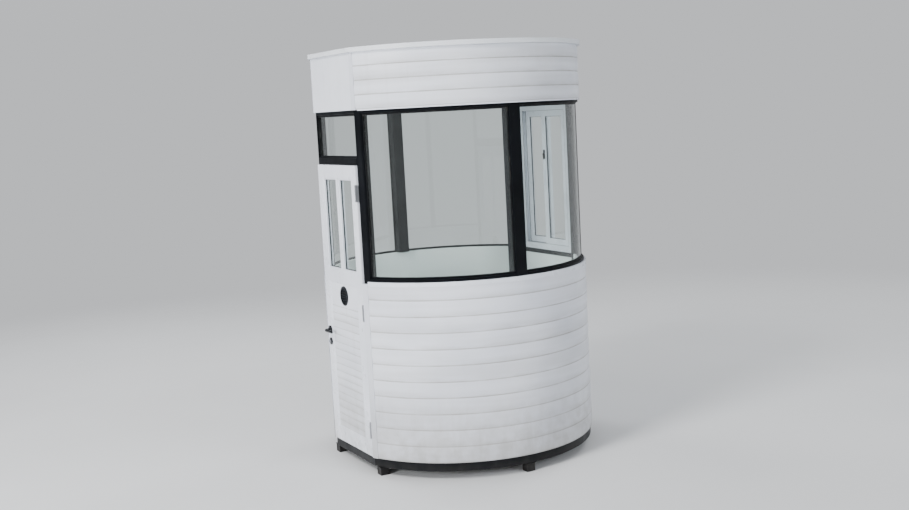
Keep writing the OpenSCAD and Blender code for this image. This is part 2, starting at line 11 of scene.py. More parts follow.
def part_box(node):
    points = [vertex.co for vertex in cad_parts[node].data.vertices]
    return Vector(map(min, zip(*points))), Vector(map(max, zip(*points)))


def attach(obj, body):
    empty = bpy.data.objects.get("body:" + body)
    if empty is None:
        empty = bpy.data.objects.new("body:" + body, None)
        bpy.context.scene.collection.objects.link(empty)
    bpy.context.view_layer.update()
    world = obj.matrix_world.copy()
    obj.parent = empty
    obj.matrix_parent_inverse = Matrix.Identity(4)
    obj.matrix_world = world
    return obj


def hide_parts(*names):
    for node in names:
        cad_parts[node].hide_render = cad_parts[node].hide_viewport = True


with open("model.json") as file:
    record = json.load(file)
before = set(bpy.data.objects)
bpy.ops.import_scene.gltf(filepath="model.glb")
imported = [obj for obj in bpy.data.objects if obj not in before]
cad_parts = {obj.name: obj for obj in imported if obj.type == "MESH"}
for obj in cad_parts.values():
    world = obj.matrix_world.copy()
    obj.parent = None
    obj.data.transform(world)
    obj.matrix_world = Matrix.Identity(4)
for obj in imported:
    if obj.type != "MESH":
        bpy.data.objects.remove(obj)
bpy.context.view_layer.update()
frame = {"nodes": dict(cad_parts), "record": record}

node_slots = {row["node"]: row["material_slot"] for row in frame["record"]["subparts"]}
node_bodies = {
    node: body for body, nodes in frame["record"]["behaviour"]["bodies"].items() for node in nodes
}
SIDES = ((-1, "left"), (1, "right"))

# Sizes that the CAD model sets, in metres
OUTER_R = 0.870
SKIN_T = 0.012
FRAME_R = OUTER_R - SKIN_T
FLAT_HALF = 0.305
FLAT_Y = sqrt(OUTER_R ** 2 - FLAT_HALF ** 2)
TRIM_X = FLAT_HALF + 0.040
FASCIA_TRIM_X = FLAT_HALF + 0.028
BAY_X = FLAT_HALF + 0.045
BAY_Y = 0.0375
BASE_RAIL_W = 0.060
SILL_RAIL_IN_R = FRAME_R - 0.040
HEAD_RAIL_IN_R = FRAME_R - 0.064
LINING_IN_R = OUTER_R - 0.070
GLASS_OUT_R = OUTER_R - 0.030
GLASS_IN_R = GLASS_OUT_R - 0.008
FIT_GAP = 0.0003
GLAZING_BEAD_W = 0.008
GLAZING_BEAD_H = 0.012
PLANK_H = 0.200
PLANK_CROWN = 0.0024
PLANK_LIP = 0.004
JOINT_H = 0.007
JOINT_D = 0.005
GROOVE_H = 0.004
GROOVE_D = 0.003
ROOF_OVERHANG = 0.016
WINDOW_FRAME_W = 0.042
SASH_W = 0.042
SASH_T = 0.025
SASH_SEAT = 0.009
SASH_BEAD_W = 0.008
SASH_PANE_HALF_T = 0.0025
DOOR_MULLION_W = 0.054
DOOR_BEAD_W = 0.010
DOOR_RIB_H = 0.048
HINGE_H = 0.100
KNUCKLE_R = 0.0055
FOOT_HALF = 0.029
FEET = [(x, y) for x in (-0.3275, 0.3275) for y in (-0.76048, 0.76048)] + [(-0.828, 0), (0.828, 0)]

# Heights that the CAD model sets, in metres
BASE_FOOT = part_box("base_rail_left")[0].z
FLOOR_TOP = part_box("floor_deck")[1].z
WALL_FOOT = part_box("cladding_left")[0].z
WALL_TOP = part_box("cladding_left")[1].z
GLASS_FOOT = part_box("glass_front_left")[0].z
GLASS_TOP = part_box("glass_front_left")[1].z
HEAD_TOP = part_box("head_rails_left")[1].z
FASCIA_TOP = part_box("fascia_left")[1].z
ROOF_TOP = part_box("roof_trim")[1].z
FASCIA_PLANK_H = (FASCIA_TOP - HEAD_TOP) / 2

# How finely curves are cut, which edges count as sharp, and how round small edges are
HALF_RING_STEPS = 120
BAY_STEPS = 60
SHARP = radians(38)
RAIL_ROUND = 0.003
TRIM_ROUND = 0.0012
FINE_ROUND = 0.0008


def rgb(red, green, blue):
    """A colour given by its 0 to 255 screen values, as the shaders take it."""
    def linear(value):
        value /= 255
        return value / 12.92 if value <= 0.04045 else ((value + 0.055) / 1.055) ** 2.4
    return (linear(red), linear(green), linear(blue), 1.0)


# Finishes

# Sockets of a Mix node that mixes colours
MIX_INPUTS = (0, 6, 7)
MIX_RESULT = 2


class NodeTree:
    """A shader tree whose nodes are added a line at a time."""

    def __init__(self, owner):
        owner.use_nodes = True
        self.links = owner.node_tree.links
        self.nodes = owner.node_tree.nodes

    def node(self, kind, output, *values, **inputs):
        """Adds a node, sets or links its inputs by place or by name, and gives its output."""
        made = self.nodes.new(kind)
        for i, value in enumerate(values):
            self.put(made.inputs[i], value)
        for name, value in inputs.items():
            self.put(made.inputs[name.replace("_", " ")], value)
        return made.outputs[output]

    def put(self, socket, value):
        if isinstance(value, bpy.types.NodeSocket):
            self.links.new(value, socket)
        else:
            socket.default_value = value

    def maths(self, operation, first, second=0.0):
        result = self.node("ShaderNodeMath", 0, first, second)
        result.node.operation = operation
        return result

    def spread(self, value, low, high, first=0.0, last=1.0):
        """The value from low to high, as a number from first to last."""
        return self.node("ShaderNodeMapRange", "Result", Value=value, From_Min=low,
                         From_Max=high, To_Min=first, To_Max=last)


class Finish(NodeTree):
    """One material. The face's colour and the bumps build up call by call."""

    def __init__(self, name, metallic=0.0):
        self.material = bpy.data.materials.new(name)
        super().__init__(self.material)
        self.shader = self.nodes["Principled BSDF"]
        self.shader.inputs["Metallic"].default_value = metallic
        self.place = self.nodes.new("ShaderNodeTexCoord").outputs["Object"]
        self.height = self.node("ShaderNodeSeparateXYZ", "Z", Vector=self.place)
        self.face = None
        self.normal = None

    def noise(self, scale, stretch=(1, 1, 1), detail=3.0):
        """Cloudy values about 0.5, whose clouds are about 1 / scale metres across."""
        place = self.node("ShaderNodeMapping", "Vector", Vector=self.place, Scale=stretch)
        return self.node("ShaderNodeTexNoise", "Fac", Vector=place, Scale=scale, Detail=detail)

    def patches(self, scale, low, high, first=0.0, last=1.0, **look):
        """Noise from low to high, as a number from first to last."""
        return self.spread(self.noise(scale, **look), low, high, first, last)

    def times(self, first, second):
        return self.maths("MULTIPLY", first, second)

    def near_ground(self, top, bottom, most):
        """A ragged mask that is 0 above top and rises to most at bottom."""
        height = self.spread(self.height, bottom, top, most, 0.0)
        return self.times(height, self.patches(14, 0.35, 0.65, 0.25, 1.0, detail=6))

    def rain_streaks(self, most, fineness=26):
        """A mask of upright streaks, as rain leaves them."""
        streaks = self.patches(fineness, 0.52, 0.78, stretch=(1, 1, 0.035), detail=4)
        return self.times(self.times(streaks, self.patches(1.7, 0.45, 0.7)), most)

    def paint(self, share, first, second):
        """Gives the face one colour that turns into another as share goes from 0 to 1."""
        made = self.nodes.new("ShaderNodeMix")
        made.data_type = "RGBA"
        for i, value in zip(MIX_INPUTS, (share, first, second)):
            self.put(made.inputs[i], value)
        self.face = made.outputs[MIX_RESULT]
        self.put(self.shader.inputs["Base Color"], self.face)

    def tint(self, share, colour):
        """Turns the face, as it is by now, into a colour as share goes from 0 to 1."""
        self.paint(share, self.face, colour)

    def bump(self, pattern, distance, strength=1.0):
        """Raises the surface by a pattern, on top of what was raised before."""
        inputs = {"Height": pattern, "Distance": distance, "Strength": strength}
        if self.normal:
            inputs["Normal"] = self.normal
        self.normal = self.node("ShaderNodeBump", "Normal", **inputs)
        self.put(self.shader.inputs["Normal"], self.normal)

    def roughness(self, smooth, rough, scale):
        """Roughness that wanders between two values."""
        self.put(self.shader.inputs["Roughness"], self.patches(scale, 0.3, 0.7, smooth, rough))

    def mix_shaders(self, share, first, second):
        """Shows one shader turning into another as share goes from 0 to 1."""
        mixed = self.node("ShaderNodeMixShader", 0, share, first, second)
        self.put(self.nodes["Material Output"].inputs["Surface"], mixed)
        return mixed


# Grey of dirt on the white sheets, also tinted in as painted shade on them
WHITE_GRIME_AND_SHADE = rgb(150, 148, 144)
MASK_EDGE = 0.001


def coated_board(name, colour, shade, joints=None):
    """White coated sheet: clouds, rain streaks, dust low down, grime in its joints, and painted shade
    that darkens it towards the bottom, over each joint and in bands that stand in for the light that
    wavy planks reflect.
    joints gives the height of the lowest joint, their pitch, how high one is, the height where
    they end, and the y up to which they reach."""
    made = Finish(name)
    made.paint(made.patches(2.3, 0.35, 0.7), colour, shade)
    made.tint(made.rain_streaks(0.30), WHITE_GRIME_AND_SHADE)
    # Painted shade: the sheet turns darker towards the bottom, where less light falls near the ground;
    # the ragged mask below is dust low down and painted shade too
    made.tint(made.spread(made.height, 0.08, 0.80, 0.28, 0.0), WHITE_GRIME_AND_SHADE)
    made.tint(made.near_ground(0.55, 0.10, 0.60), WHITE_GRIME_AND_SHADE)
    if joints:
        joint_foot, pitch, joint_h, joint_top, joint_y = joints
        depth = made.node("ShaderNodeSeparateXYZ", "Y", Vector=made.place)
        there = made.times(made.spread(made.height, joint_top, joint_top + MASK_EDGE, 1.0, 0.0),
                           made.spread(depth, joint_y, joint_y + MASK_EDGE, 1.0, 0.0))
        rise = made.maths("SUBTRACT", made.height, joint_foot)
        turn = made.maths("FRACT", made.maths("DIVIDE", rise, pitch))
        # Painted reflections: horizontal bands of darker tone that stand in for the light the wavy
        # planks reflect
        wave_shade_bands = made.patches(13, 0.42, 0.66, 0.0, 0.22, stretch=(0.05, 0.05, 1))
        # Painted shade: grey just above each joint that fades upwards, as the lower part of each
        # bulging plank face turns from the light above
        above = made.times(made.spread(turn, 0.0, 0.45, 0.40, 0.0),
                           made.patches(4, 0.35, 0.65, stretch=(1, 1, 6), detail=6))
        in_joint = made.spread(turn, joint_h / pitch, (joint_h + 2 * MASK_EDGE) / pitch, 0.8, 0.0)
        worn = made.patches(9, 0.3, 0.7, 0.45, 1.0, detail=5)
        for mask in (wave_shade_bands, above, made.times(in_joint, worn)):
            made.tint(made.times(mask, there), WHITE_GRIME_AND_SHADE)
    made.tint(made.patches(160, 0.70, 0.78, 0.0, 0.35, detail=2), WHITE_GRIME_AND_SHADE)
    made.roughness(0.34, 0.52, 7)
    made.bump(made.noise(2.6, stretch=(1, 1, 5)), 0.004, 0.35)
    made.bump(made.noise(420, detail=2), 0.00015, 0.4)
    return made.material


def black_steel():
    """Satin black paint on steel, with an orange peel surface, scuffs and dust low down."""
    made = Finish("black_steel_paint")
    made.shader.inputs["Specular IOR Level"].default_value = 0.18
    made.paint(made.patches(5, 0.35, 0.7), rgb(7, 9, 12), rgb(14, 16, 20))
    made.tint(made.near_ground(0.12, 0.0, 0.18), rgb(98, 93, 86))
    made.tint(made.rain_streaks(0.10, 38), rgb(72, 74, 78))
    scuffs = made.patches(36, 0.70, 0.76, 0.0, 0.25, stretch=(1, 1, 0.25), detail=8)
    made.tint(scuffs, rgb(84, 86, 90))
    made.roughness(0.32, 0.50, 11)
    made.bump(made.noise(6), 0.002, 0.2)
    made.bump(made.noise(260, detail=2), 0.00003, 0.4)
    return made.material


def gloss_profile(name, colour, shade):
    """Extruded white profile: smooth, with faint lengthwise lines and handling marks."""
    made = Finish(name)
    grime = rgb(158, 156, 152)
    made.paint(made.patches(3.1, 0.35, 0.7), colour, shade)
    made.tint(made.rain_streaks(0.18, 34), grime)
    made.tint(made.near_ground(0.36, 0.10, 0.5), grime)
    made.tint(made.patches(22, 0.66, 0.74, 0.0, 0.30, detail=9), grime)
    made.roughness(0.22, 0.38, 9)
    made.bump(made.noise(4, stretch=(1, 1, 3)), 0.0015, 0.2)
    made.bump(made.noise(300, stretch=(1, 1, 0.1), detail=2), 0.0001, 0.3)
    return made.material


def inner_board(name, colour, shade):
    """Board of the walls and the ceiling inside, with a fine stipple."""
    made = Finish(name)
    made.paint(made.patches(1.9, 0.3, 0.7), colour, shade)
    made.tint(made.near_ground(0.35, 0.12, 0.4), rgb(142, 140, 134))
    made.roughness(0.48, 0.66, 12)
    made.bump(made.noise(180, detail=3), 0.0003, 0.5)
    return made.material


def floor_covering():
    """Grey sheet floor with pale and dark flecks and a trodden middle."""
    made = Finish("floor_covering")
    made.paint(made.patches(3, 0.35, 0.65), rgb(118, 116, 111), rgb(134, 131, 125))
    made.tint(made.patches(95, 0.60, 0.66, detail=1), rgb(162, 159, 151))
    made.tint(made.patches(120, 0.64, 0.70, detail=1), rgb(78, 77, 75))
    trodden = made.patches(2.2, 0.45, 0.7, 0.0, 0.45, stretch=(2, 0.6, 1), detail=5)
    made.tint(trodden, rgb(96, 90, 82))
    made.roughness(0.42, 0.62, 6)
    made.bump(made.noise(210, detail=2), 0.0002, 0.6)
    return made.material


def plywood():
    """Bare board under the roof sheet, with grain."""
    made = Finish("roof_plywood")
    grain = made.noise(9, stretch=(1, 9, 30), detail=6)
    made.paint(made.spread(grain, 0.35, 0.65), rgb(176, 152, 118), rgb(142, 116, 84))
    made.tint(made.patches(4, 0.5, 0.75), rgb(118, 106, 92))
    made.roughness(0.6, 0.8, 8)
    made.bump(grain, 0.0006, 0.5)
    return made.material


def roof_sheet():
    """Pale coated sheet on the roof, stained where water stands."""
    made = Finish("roof_sheet_paint")
    made.paint(made.patches(2.2, 0.35, 0.7), rgb(196, 199, 202), rgb(174, 176, 177))
    made.tint(made.patches(3.4, 0.50, 0.68, 0.0, 0.6, detail=8), rgb(132, 128, 118))
    made.tint(made.patches(11, 0.60, 0.72, 0.0, 0.45, detail=9), rgb(104, 100, 92))
    made.roughness(0.36, 0.62, 6)
    made.bump(made.noise(3.2), 0.003, 0.3)
    made.bump(made.noise(240, detail=2), 0.0002, 0.4)
    return made.material


def steel(name, colour, shade, smooth, rough):
    """Dull steel with fine upright brush lines."""
    made = Finish(name, metallic=0.85)
    brushed = made.noise(220, stretch=(1, 1, 0.04), detail=3)
    made.paint(made.spread(brushed, 0.3, 0.7), colour, shade)
    made.roughness(smooth, rough, 40)
    made.bump(brushed, 0.00008, 0.5)
    return made.material


def black_moulding(name, colour, shade, smooth, rough, grain):
    """Black plastic, rubber or powder coat, with a fine grain and a little dust."""
    made = Finish(name)
    made.paint(made.patches(30, 0.4, 0.7, detail=5), colour, shade)
    made.tint(made.patches(12, 0.56, 0.74, 0.0, 0.22, detail=7), rgb(120, 116, 110))
    made.roughness(smooth, rough, 25)
    made.bump(made.noise(grain, detail=2), 0.00015, 0.6)
    return made.material


def clear_glass():
    """Clear glass with a faint green cast and a film of dust that is thicker at its foot.
    Lamps and the light that surfaces get from around them pass straight through it."""
    made = Finish("clear_glass")
    cast = rgb(247, 251, 250)
    for name, value in (("Base Color", cast), ("Roughness", 0.0), ("IOR", 1.5),
                        ("Transmission Weight", 1.0)):
        made.shader.inputs[name].default_value = value
    unbent = made.node("ShaderNodeBsdfTransparent", 0, Color=cast)
    paths = made.nodes.new("ShaderNodeLightPath").outputs
    straight = made.maths("MAXIMUM", paths["Is Shadow Ray"], paths["Is Diffuse Ray"])
    body = made.mix_shaders(straight, made.shader.outputs[0], unbent)
    film = made.node("ShaderNodeBsdfDiffuse", 0, Color=rgb(196, 204, 202))
    foot = made.spread(made.height, GLASS_FOOT, GLASS_FOOT + 0.16, 0.04, 0.006)
    dust = made.times(foot, made.patches(5, 0.3, 0.75, 0.2, 1.5, detail=7))
    made.mix_shaders(dust, body, film)
    return made.material


GRIME_H = 0.0055
CLADDING_JOINTS = (WALL_FOOT, PLANK_H / 2, GRIME_H, WALL_TOP, 1.0)
FASCIA_JOINTS = (HEAD_TOP, FASCIA_PLANK_H / 2, GRIME_H, FASCIA_TOP, 1.0)
PANEL_RIBS = (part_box("door_panel")[0].z - 0.0015, DOOR_RIB_H, 0.002,
              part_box("door_vent")[0].z - JOINT_H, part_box("door_panel")[0].y + 0.004)
FASCIA_COLOURS = (rgb(224, 227, 234), rgb(212, 216, 225))
finishes = {
    "black_steel": black_steel(),
    "floor_board": floor_covering(),
    "wall_panel": inner_board("wall_panel_board", rgb(240, 246, 245), rgb(231, 238, 237)),
    "cladding_white": coated_board("cladding_sheet", rgb(221, 224, 232), rgb(207, 211, 221),
                                   CLADDING_JOINTS),
    "trim_grey": coated_board("trim_sheet", rgb(207, 210, 218), rgb(196, 200, 209)),
    "glass": clear_glass(),
    "frame_white": gloss_profile("frame_profile", rgb(224, 227, 235), rgb(211, 215, 224)),
    "ceiling_board": inner_board("ceiling_panel", rgb(228, 231, 231), rgb(218, 222, 222)),
    "fascia_white": coated_board("fascia_sheet", *FASCIA_COLOURS, FASCIA_JOINTS),
    "roof_board": plywood(),
    "roof_sheet": roof_sheet(),
    "roof_edge": coated_board("roof_edge_coat", rgb(222, 226, 230), rgb(208, 212, 218)),
    "hinge_steel": steel("hinge_steel_brushed", rgb(196, 198, 203), rgb(172, 175, 180), 0.30, 0.45),
    "vent_black": black_moulding("vent_plastic", rgb(17, 19, 23), rgb(30, 33, 38), 0.42, 0.6, 500),
    "handle_black": black_moulding("handle_coat", rgb(14, 16, 20), rgb(26, 28, 33), 0.26, 0.42, 700),
}
seal_finish = black_moulding("seal_rubber", rgb(12, 13, 15), rgb(24, 25, 27), 0.55, 0.75, 900)
board_finish = coated_board("fascia_board", *FASCIA_COLOURS)
panel_finish = coated_board("door_panel_sheet", rgb(222, 225, 233), rgb(210, 214, 223), PANEL_RIBS)


# Shapes

def spaced(first, last, count):
    """As many values as count says, evenly from first to last."""
    return [first + (last - first) * i / (count - 1) for i in range(count)]


def circle(count):
    """As many angles, evenly round a circle."""
    return [2 * pi * i / count for i in range(count)]


def soften(section, radius, steps=3):
    """The closed section with each of its corners rounded."""
    points = [Vector(point) for point in section]
    result = []
    for i, corner in enumerate(points):
        back = points[i - 1] - corner
        ahead = points[(i + 1) % len(points)] - corner
        start = corner + back.normalized() * min(radius, back.length * 0.45)
        end = corner + ahead.normalized() * min(radius, ahead.length * 0.45)
        for step in range(steps + 1):
            share = step / steps
            result.append(start.lerp(corner, share).lerp(corner.lerp(end, share), share))
    return [tuple(point) for point in result]


def oblong(low_a, low_b, high_a, high_b):
    """A rectangular section between two corners."""
    return [(low_a, low_b), (high_a, low_b), (high_a, high_b), (low_a, high_b)]


def rounded(low_a, low_b, high_a, high_b, radius, steps=3):
    """A rectangular section between two corners, with its corners rounded."""
    return soften(oblong(low_a, low_b, high_a, high_b), radius, steps)


def join_rings(bm, rings):
    """Faces between rings of as many points each, and a face at either end."""
    for ring, after in zip(rings, rings[1:]):
        for i in range(len(ring)):
            bm.faces.new((ring[i - 1], ring[i], after[i], after[i - 1]))
    bm.faces.new(rings[0])
    bm.faces.new(rings[-1])


def sweep(bm, section, place, steps=1):
    """Carries a closed section along. place gives where a point of it is at a share of the way."""
    join_rings(bm, [
        [bm.verts.new(place(point, step / steps)) for point in section]
        for step in range(steps + 1)
    ])


def along_x(start, end):
    """Sections are (y, z)."""
    return lambda point, share: (start + share * (end - start), point[0], point[1])


def along_y(start, end):
    """Sections are (x, z)."""
    return lambda point, share: (point[0], start + share * (end - start), point[1])


def along_z(start, end):
    """Sections are (x, y)."""
    return lambda point, share: (point[0], point[1], start + share * (end - start))


def round_booth(side, limits, wave=None):
    """Sections are (radius, height). side is -1 for -X and 1 for +X. limits gives, at a
    radius, the first and last angle from the -Y axis. wave moves the skin in or out."""
    def place(point, share):
        radius, height = point
        first, last = limits(radius)
        angle = first + share * (last - first)
        if wave:
            radius += wave(angle, height)
        return (side * radius * sin(angle), -radius * cos(angle), height)
    return place


def past_x(x):
    """Angles of the ring that lies further out than x."""
    return lambda radius: (asin(x / radius), pi - asin(x / radius))


def in_bay(front):
    """Angles of a glazed bay, between a corner post and the post halfway along the side."""
    if front:
        return lambda radius: (asin(BAY_X / radius), acos(BAY_Y / radius))
    return lambda radius: (pi - acos(BAY_Y / radius), pi - asin(BAY_X / radius))


def round_sweep(bm, section, side, x, wave=None):
    """Carries a section of (radius, height) round a side, as far as it lies further out than x."""
    sweep(bm, section, round_booth(side, past_x(x), wave), HALF_RING_STEPS)


def bay_sweep(bm, section, side, front):
    """Carries a section of (radius, height) round a glazed bay."""
    sweep(bm, section, round_booth(side, in_bay(front)), BAY_STEPS)


def mitred_bars(bm, opening, section, gap=0.0002):
    """Four bars round a rectangle (x0, z0, x1, z1), with mitred ends and a hairline between
    them. Sections are (distance inwards, y)."""
    x0, z0, x1, z1 = opening
    corners = [(x0, z0, 1, 1), (x1, z0, -1, 1), (x1, z1, -1, -1), (x0, z1, 1, -1)]
    for i, start in enumerate(corners):
        end = corners[(i + 1) % 4]
        heading = Vector((end[0] - start[0], 0, end[1] - start[1])).normalized()
        rings = []
        for (x, z, step_x, step_z), shift in ((start, gap), (end, -gap)):
            rings.append([
                bm.verts.new(Vector((x + step_x * inset, y, z + step_z * inset)) + heading * shift)
                for inset, y in section
            ])
        join_rings(bm, rings)


def grown(opening, by):
    x0, z0, x1, z1 = opening
    return (x0 - by, z0 - by, x1 + by, z1 + by)


def block(bm, low, high):
    """A box between two corners. Its piece's bevel softens it."""
    sweep(bm, oblong(low[0], low[1], high[0], high[1]), along_z(low[2], high[2]))


def lathe(bm, profile, centre, axis, steps=24, closed=False):
    """Turns a profile of (radius, height) points about an axis. A radius of 0 shuts an end."""
    turn = Vector((0, 0, 1)).rotation_difference(Vector(axis)).to_matrix()
    rings = []
    for radius, height in profile:
        around = [Vector((radius * cos(a), radius * sin(a), height)) for a in circle(steps)]
        if radius:
            rings.append([bm.verts.new(Vector(centre) + turn @ point) for point in around])
        else:
            rings.append([bm.verts.new(Vector(centre) + turn @ around[0])] * steps)
    following = rings[1:] + rings[:1] if closed else rings[1:]
    for ring, after in zip(rings, following):
        for i in range(steps):
            bm.faces.new(dict.fromkeys((ring[i - 1], ring[i], after[i], after[i - 1])))


def screw(bm, centre, axis, radius):
    """A domed screw head with a small recess for the driver."""
    dome = ((0, 0), (1, 0), (1, 0.25), (0.82, 0.5), (0.5, 0.64), (0.34, 0.66), (0.2, 0.3), (0, 0.26))
    lathe(bm, [(radius * r, radius * up) for r, up in dome], centre, axis, steps=12)


def put_in_scene(name, data):
    """Makes an object of a mesh, a lamp or a camera."""
    thing = bpy.data.objects.new(name, data)
    bpy.context.scene.collection.objects.link(thing)
    return thing


def make_piece(name, bm, slot, body="cabin", edge=0.0, stands_for=None, finish=None):
    """Makes a piece, with its sharp edges bevelled, that rides on its body. Its wide faces set
    the shading, so that glass doesn't bend the view like a lens."""
    bmesh.ops.recalc_face_normals(bm, faces=bm.faces)
    mesh = bpy.data.meshes.new(name)
    bm.to_mesh(mesh)
    bm.free()
    mesh.shade_smooth()
    mesh.set_sharp_from_angle(angle=SHARP)
    mesh.materials.append(finish or finishes[slot])
    piece = put_in_scene(name, mesh)
    if edge:
        bevel = piece.modifiers.new("soft_edges", "BEVEL")
        bevel.width = edge
        bevel.segments = 2
        bevel.limit_method = "ANGLE"
        bevel.angle_limit = SHARP
    normals = piece.modifiers.new("wide_faces_lead", "WEIGHTED_NORMAL")
    normals.keep_sharp = True
    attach(piece, body)
    if stands_for:
        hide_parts(stands_for)


def make_seal(name, bm, body="cabin"):
    """Makes a piece in black rubber, such as a seal, a brush or dark patches of painted shade, which
    has no slot in the record.
    """
    make_piece(name, bm, None, body, finish=seal_finish)


def refine(node, edge, finish=None):
    """A copy of a CAD node with whole faces and soft edges, which stands for it."""
    source = frame["nodes"][node].data
    bm = bmesh.new()
    corners = [bm.verts.new(vertex.co) for vertex in source.vertices]
    for polygon in source.polygons:
        bm.faces.new([corners[i] for i in polygon.vertices])
    bmesh.ops.remove_doubles(bm, verts=bm.verts, dist=1e-6)
    bmesh.ops.dissolve_limit(bm, angle_limit=radians(0.5), verts=bm.verts, edges=bm.edges)
    make_piece(node + "_finished", bm, node_slots[node], node_bodies[node], edge, node, finish)


# CAD nodes that keep their shape, by the width of their edges' bevel
for edge, nodes in {
    0.0030: ["door_post_left", "door_post_right", "side_post_left", "side_post_right",
             "window_post_left", "window_post_right"],
    0.0020: ["feet", "base_crossbeams", "window_sill", "door_transom"],
    0.0015: ["head_rails_flat"],
    0.0012: ["floor_deck", "door_stop"],
    0.0010: ["wall_front_left", "wall_front_right", "wall_rear_left", "wall_rear_right",
             "wall_under_window", "ceiling", "roof_deck", "roof_panel"],
    0.0009: ["window_sash_fixed", "window_sash_sliding"],
    0.0007: ["window_frame"],
    0.0006: ["transom_glass", "window_glass", "door_glass"],
    0.0004: ["post_hinge_halves", "door_hinge_halves"],
}.items():
    for node in nodes:
        refine(node, edge)
refine("fascia_front", 0.0018, board_finish)
refine("fascia_rear", 0.0018, board_finish)
refine("door_panel", 0.0005, panel_finish)


# Base ring with the welds of its feet, and skirting inside

SKIRTING_H = 0.060
SKIRTING_T = 0.006
SKIRTING_PLAY = 0.001
skirting = bmesh.new()
for side, name in SIDES:
    bm = bmesh.new()
    section = rounded(FRAME_R - BASE_RAIL_W, BASE_FOOT, FRAME_R, WALL_FOOT, radius=0.004)
    round_sweep(bm, section, side, FLAT_HALF)
    make_piece(f"base_ring_{name}", bm, "black_steel", stands_for=f"base_rail_{name}")
    skirting_top = FLOOR_TOP + SKIRTING_H
    section = rounded(LINING_IN_R - SKIRTING_T, FLOOR_TOP, LINING_IN_R, skirting_top, RAIL_ROUND)
    round_sweep(skirting, section, side, BAY_X + SKIRTING_PLAY)
make_piece("skirting_boards", skirting, "trim_grey")

WELD_W = 0.005
WELD = [(0, -WELD_W), (0.6 * WELD_W, -0.6 * WELD_W), (WELD_W, 0), (0, 0)]
bm = bmesh.new()
for x, y in FEET:
    for step in (-1, 1):
        section = [(y + step * (FOOT_HALF + out), BASE_FOOT + up) for out, up in WELD]
        sweep(bm, section, along_x(x - FOOT_HALF, x + FOOT_HALF))
        section = [(x + step * (FOOT_HALF + out), BASE_FOOT + up) for out, up in WELD]
        sweep(bm, section, along_y(y - FOOT_HALF, y + FOOT_HALF))
make_piece("foot_welds", bm, "black_steel")


# Round rails with their beads, bent glass and its seals

BEAD_NOSE_H = 0.3 * GLAZING_BEAD_H
BEAD_ROUND = 0.001
SEAL_W = 0.004
SEAL_H = 0.006
SEAL_BEHIND_BEAD = 0.004
SEAL_STRIP_H = 0.005


def beside_glass(near, width):
    """From near to near + width off either face of the bent glass, as pairs of radii."""
    return ((GLASS_OUT_R + near, GLASS_OUT_R + near + width),
            (GLASS_IN_R - near, GLASS_IN_R - near - width))


def round_rails(node, side, inner, foot, top, glass_edge, up):
    """The rails of a side's two bays, with a tapering bead at either face of the glass."""
    bm = bmesh.new()
    for front in (True, False):
        bay_sweep(bm, rounded(inner, foot, FRAME_R, top, RAIL_ROUND), side, front)
        for near, far in beside_glass(FIT_GAP, GLAZING_BEAD_W):
            bead = [(near, glass_edge), (far, glass_edge), (far, glass_edge + up * BEAD_NOSE_H),
                    (near, glass_edge + up * GLAZING_BEAD_H)]
            bay_sweep(bm, soften(bead, BEAD_ROUND, 2), side, front)
    make_piece(node + "_finished", bm, "black_steel", stands_for=node)


def glass_seals(name, side, front):
    """Rubber strips along the four edges of a bent pane, on both its faces."""
    bm = bmesh.new()
    for near, far in beside_glass(0.0, SEAL_W):
        for edge, up in ((GLASS_FOOT, 1), (GLASS_TOP, -1)):
            low = edge + up * (GLAZING_BEAD_H - SEAL_BEHIND_BEAD)
            section = rounded(near, low, far, low + up * SEAL_STRIP_H, BEAD_ROUND, 2)
            bay_sweep(bm, section, side, front)
        middle = (near + far) / 2
        for angle, turn in zip(in_bay(front)(middle), (1, -1)):
            section = [(side * radius * sin(a), -radius * cos(a))
                       for radius, a in oblong(near, angle, far, angle + turn * SEAL_H / middle)]
            sweep(bm, soften(section, TRIM_ROUND, 2), along_z(GLASS_FOOT, GLASS_TOP))
    make_seal(name, bm)


for side, name in SIDES:
    round_rails(f"sill_rails_{name}", side, SILL_RAIL_IN_R, WALL_TOP, GLASS_FOOT, GLASS_FOOT, 1)
    round_rails(f"head_rails_{name}", side, HEAD_RAIL_IN_R, GLASS_TOP, HEAD_TOP, GLASS_TOP, -1)
    for front, end in ((True, "front"), (False, "rear")):
        bm = bmesh.new()
        bay_sweep(bm, oblong(GLASS_IN_R, GLASS_FOOT, GLASS_OUT_R, GLASS_TOP), side, front)
        make_piece(f"bent_glass_{end}_{name}", bm, "glass", edge=FINE_ROUND,
                   stands_for=f"glass_{end}_{name}")
        glass_seals(f"glass_seals_{end}_{name}", side, front)


# Cladding and curved fascia

LIP_R = 0.001
LIP_POINTS = (0.0, 0.0001, 0.0003, 0.0006, 0.001)
BULGE = 0.0014
FACE_STEPS = 14
JOINT_SLANT = 0.0003
LIP_SLANT = 0.0004
FACE_END = 0.0005
# Slow waves of the skin: how far out, their phase per radian round and per metre up, and at 0
WAVES = ((0.0004, 7, 9, 0), (0.0003, 13, -5, 1))


def face_points(foot, top, joint_at_foot):
    """Depth and height along one half of a plank's face. It bulges, it lies back most at the
    foot or at the top, where the joint is, and its lower edge by the joint is rounded."""
    points = []
    for share in spaced(0, 1, FACE_STEPS + 1):
        from_joint = share if joint_at_foot else 1 - share
        hollow = BULGE * (1 + cos(2 * pi * share)) / 2
        depth = PLANK_CROWN * (1 - from_joint) ** 2 + hollow
        points.append((depth, foot + share * (top - foot)))
    if joint_at_foot:
        edge = [(PLANK_CROWN + BULGE + LIP_R - sqrt(LIP_R ** 2 - (LIP_R - up) ** 2), foot + up)
                for up in LIP_POINTS]
        points = edge + points[1:]
    return points


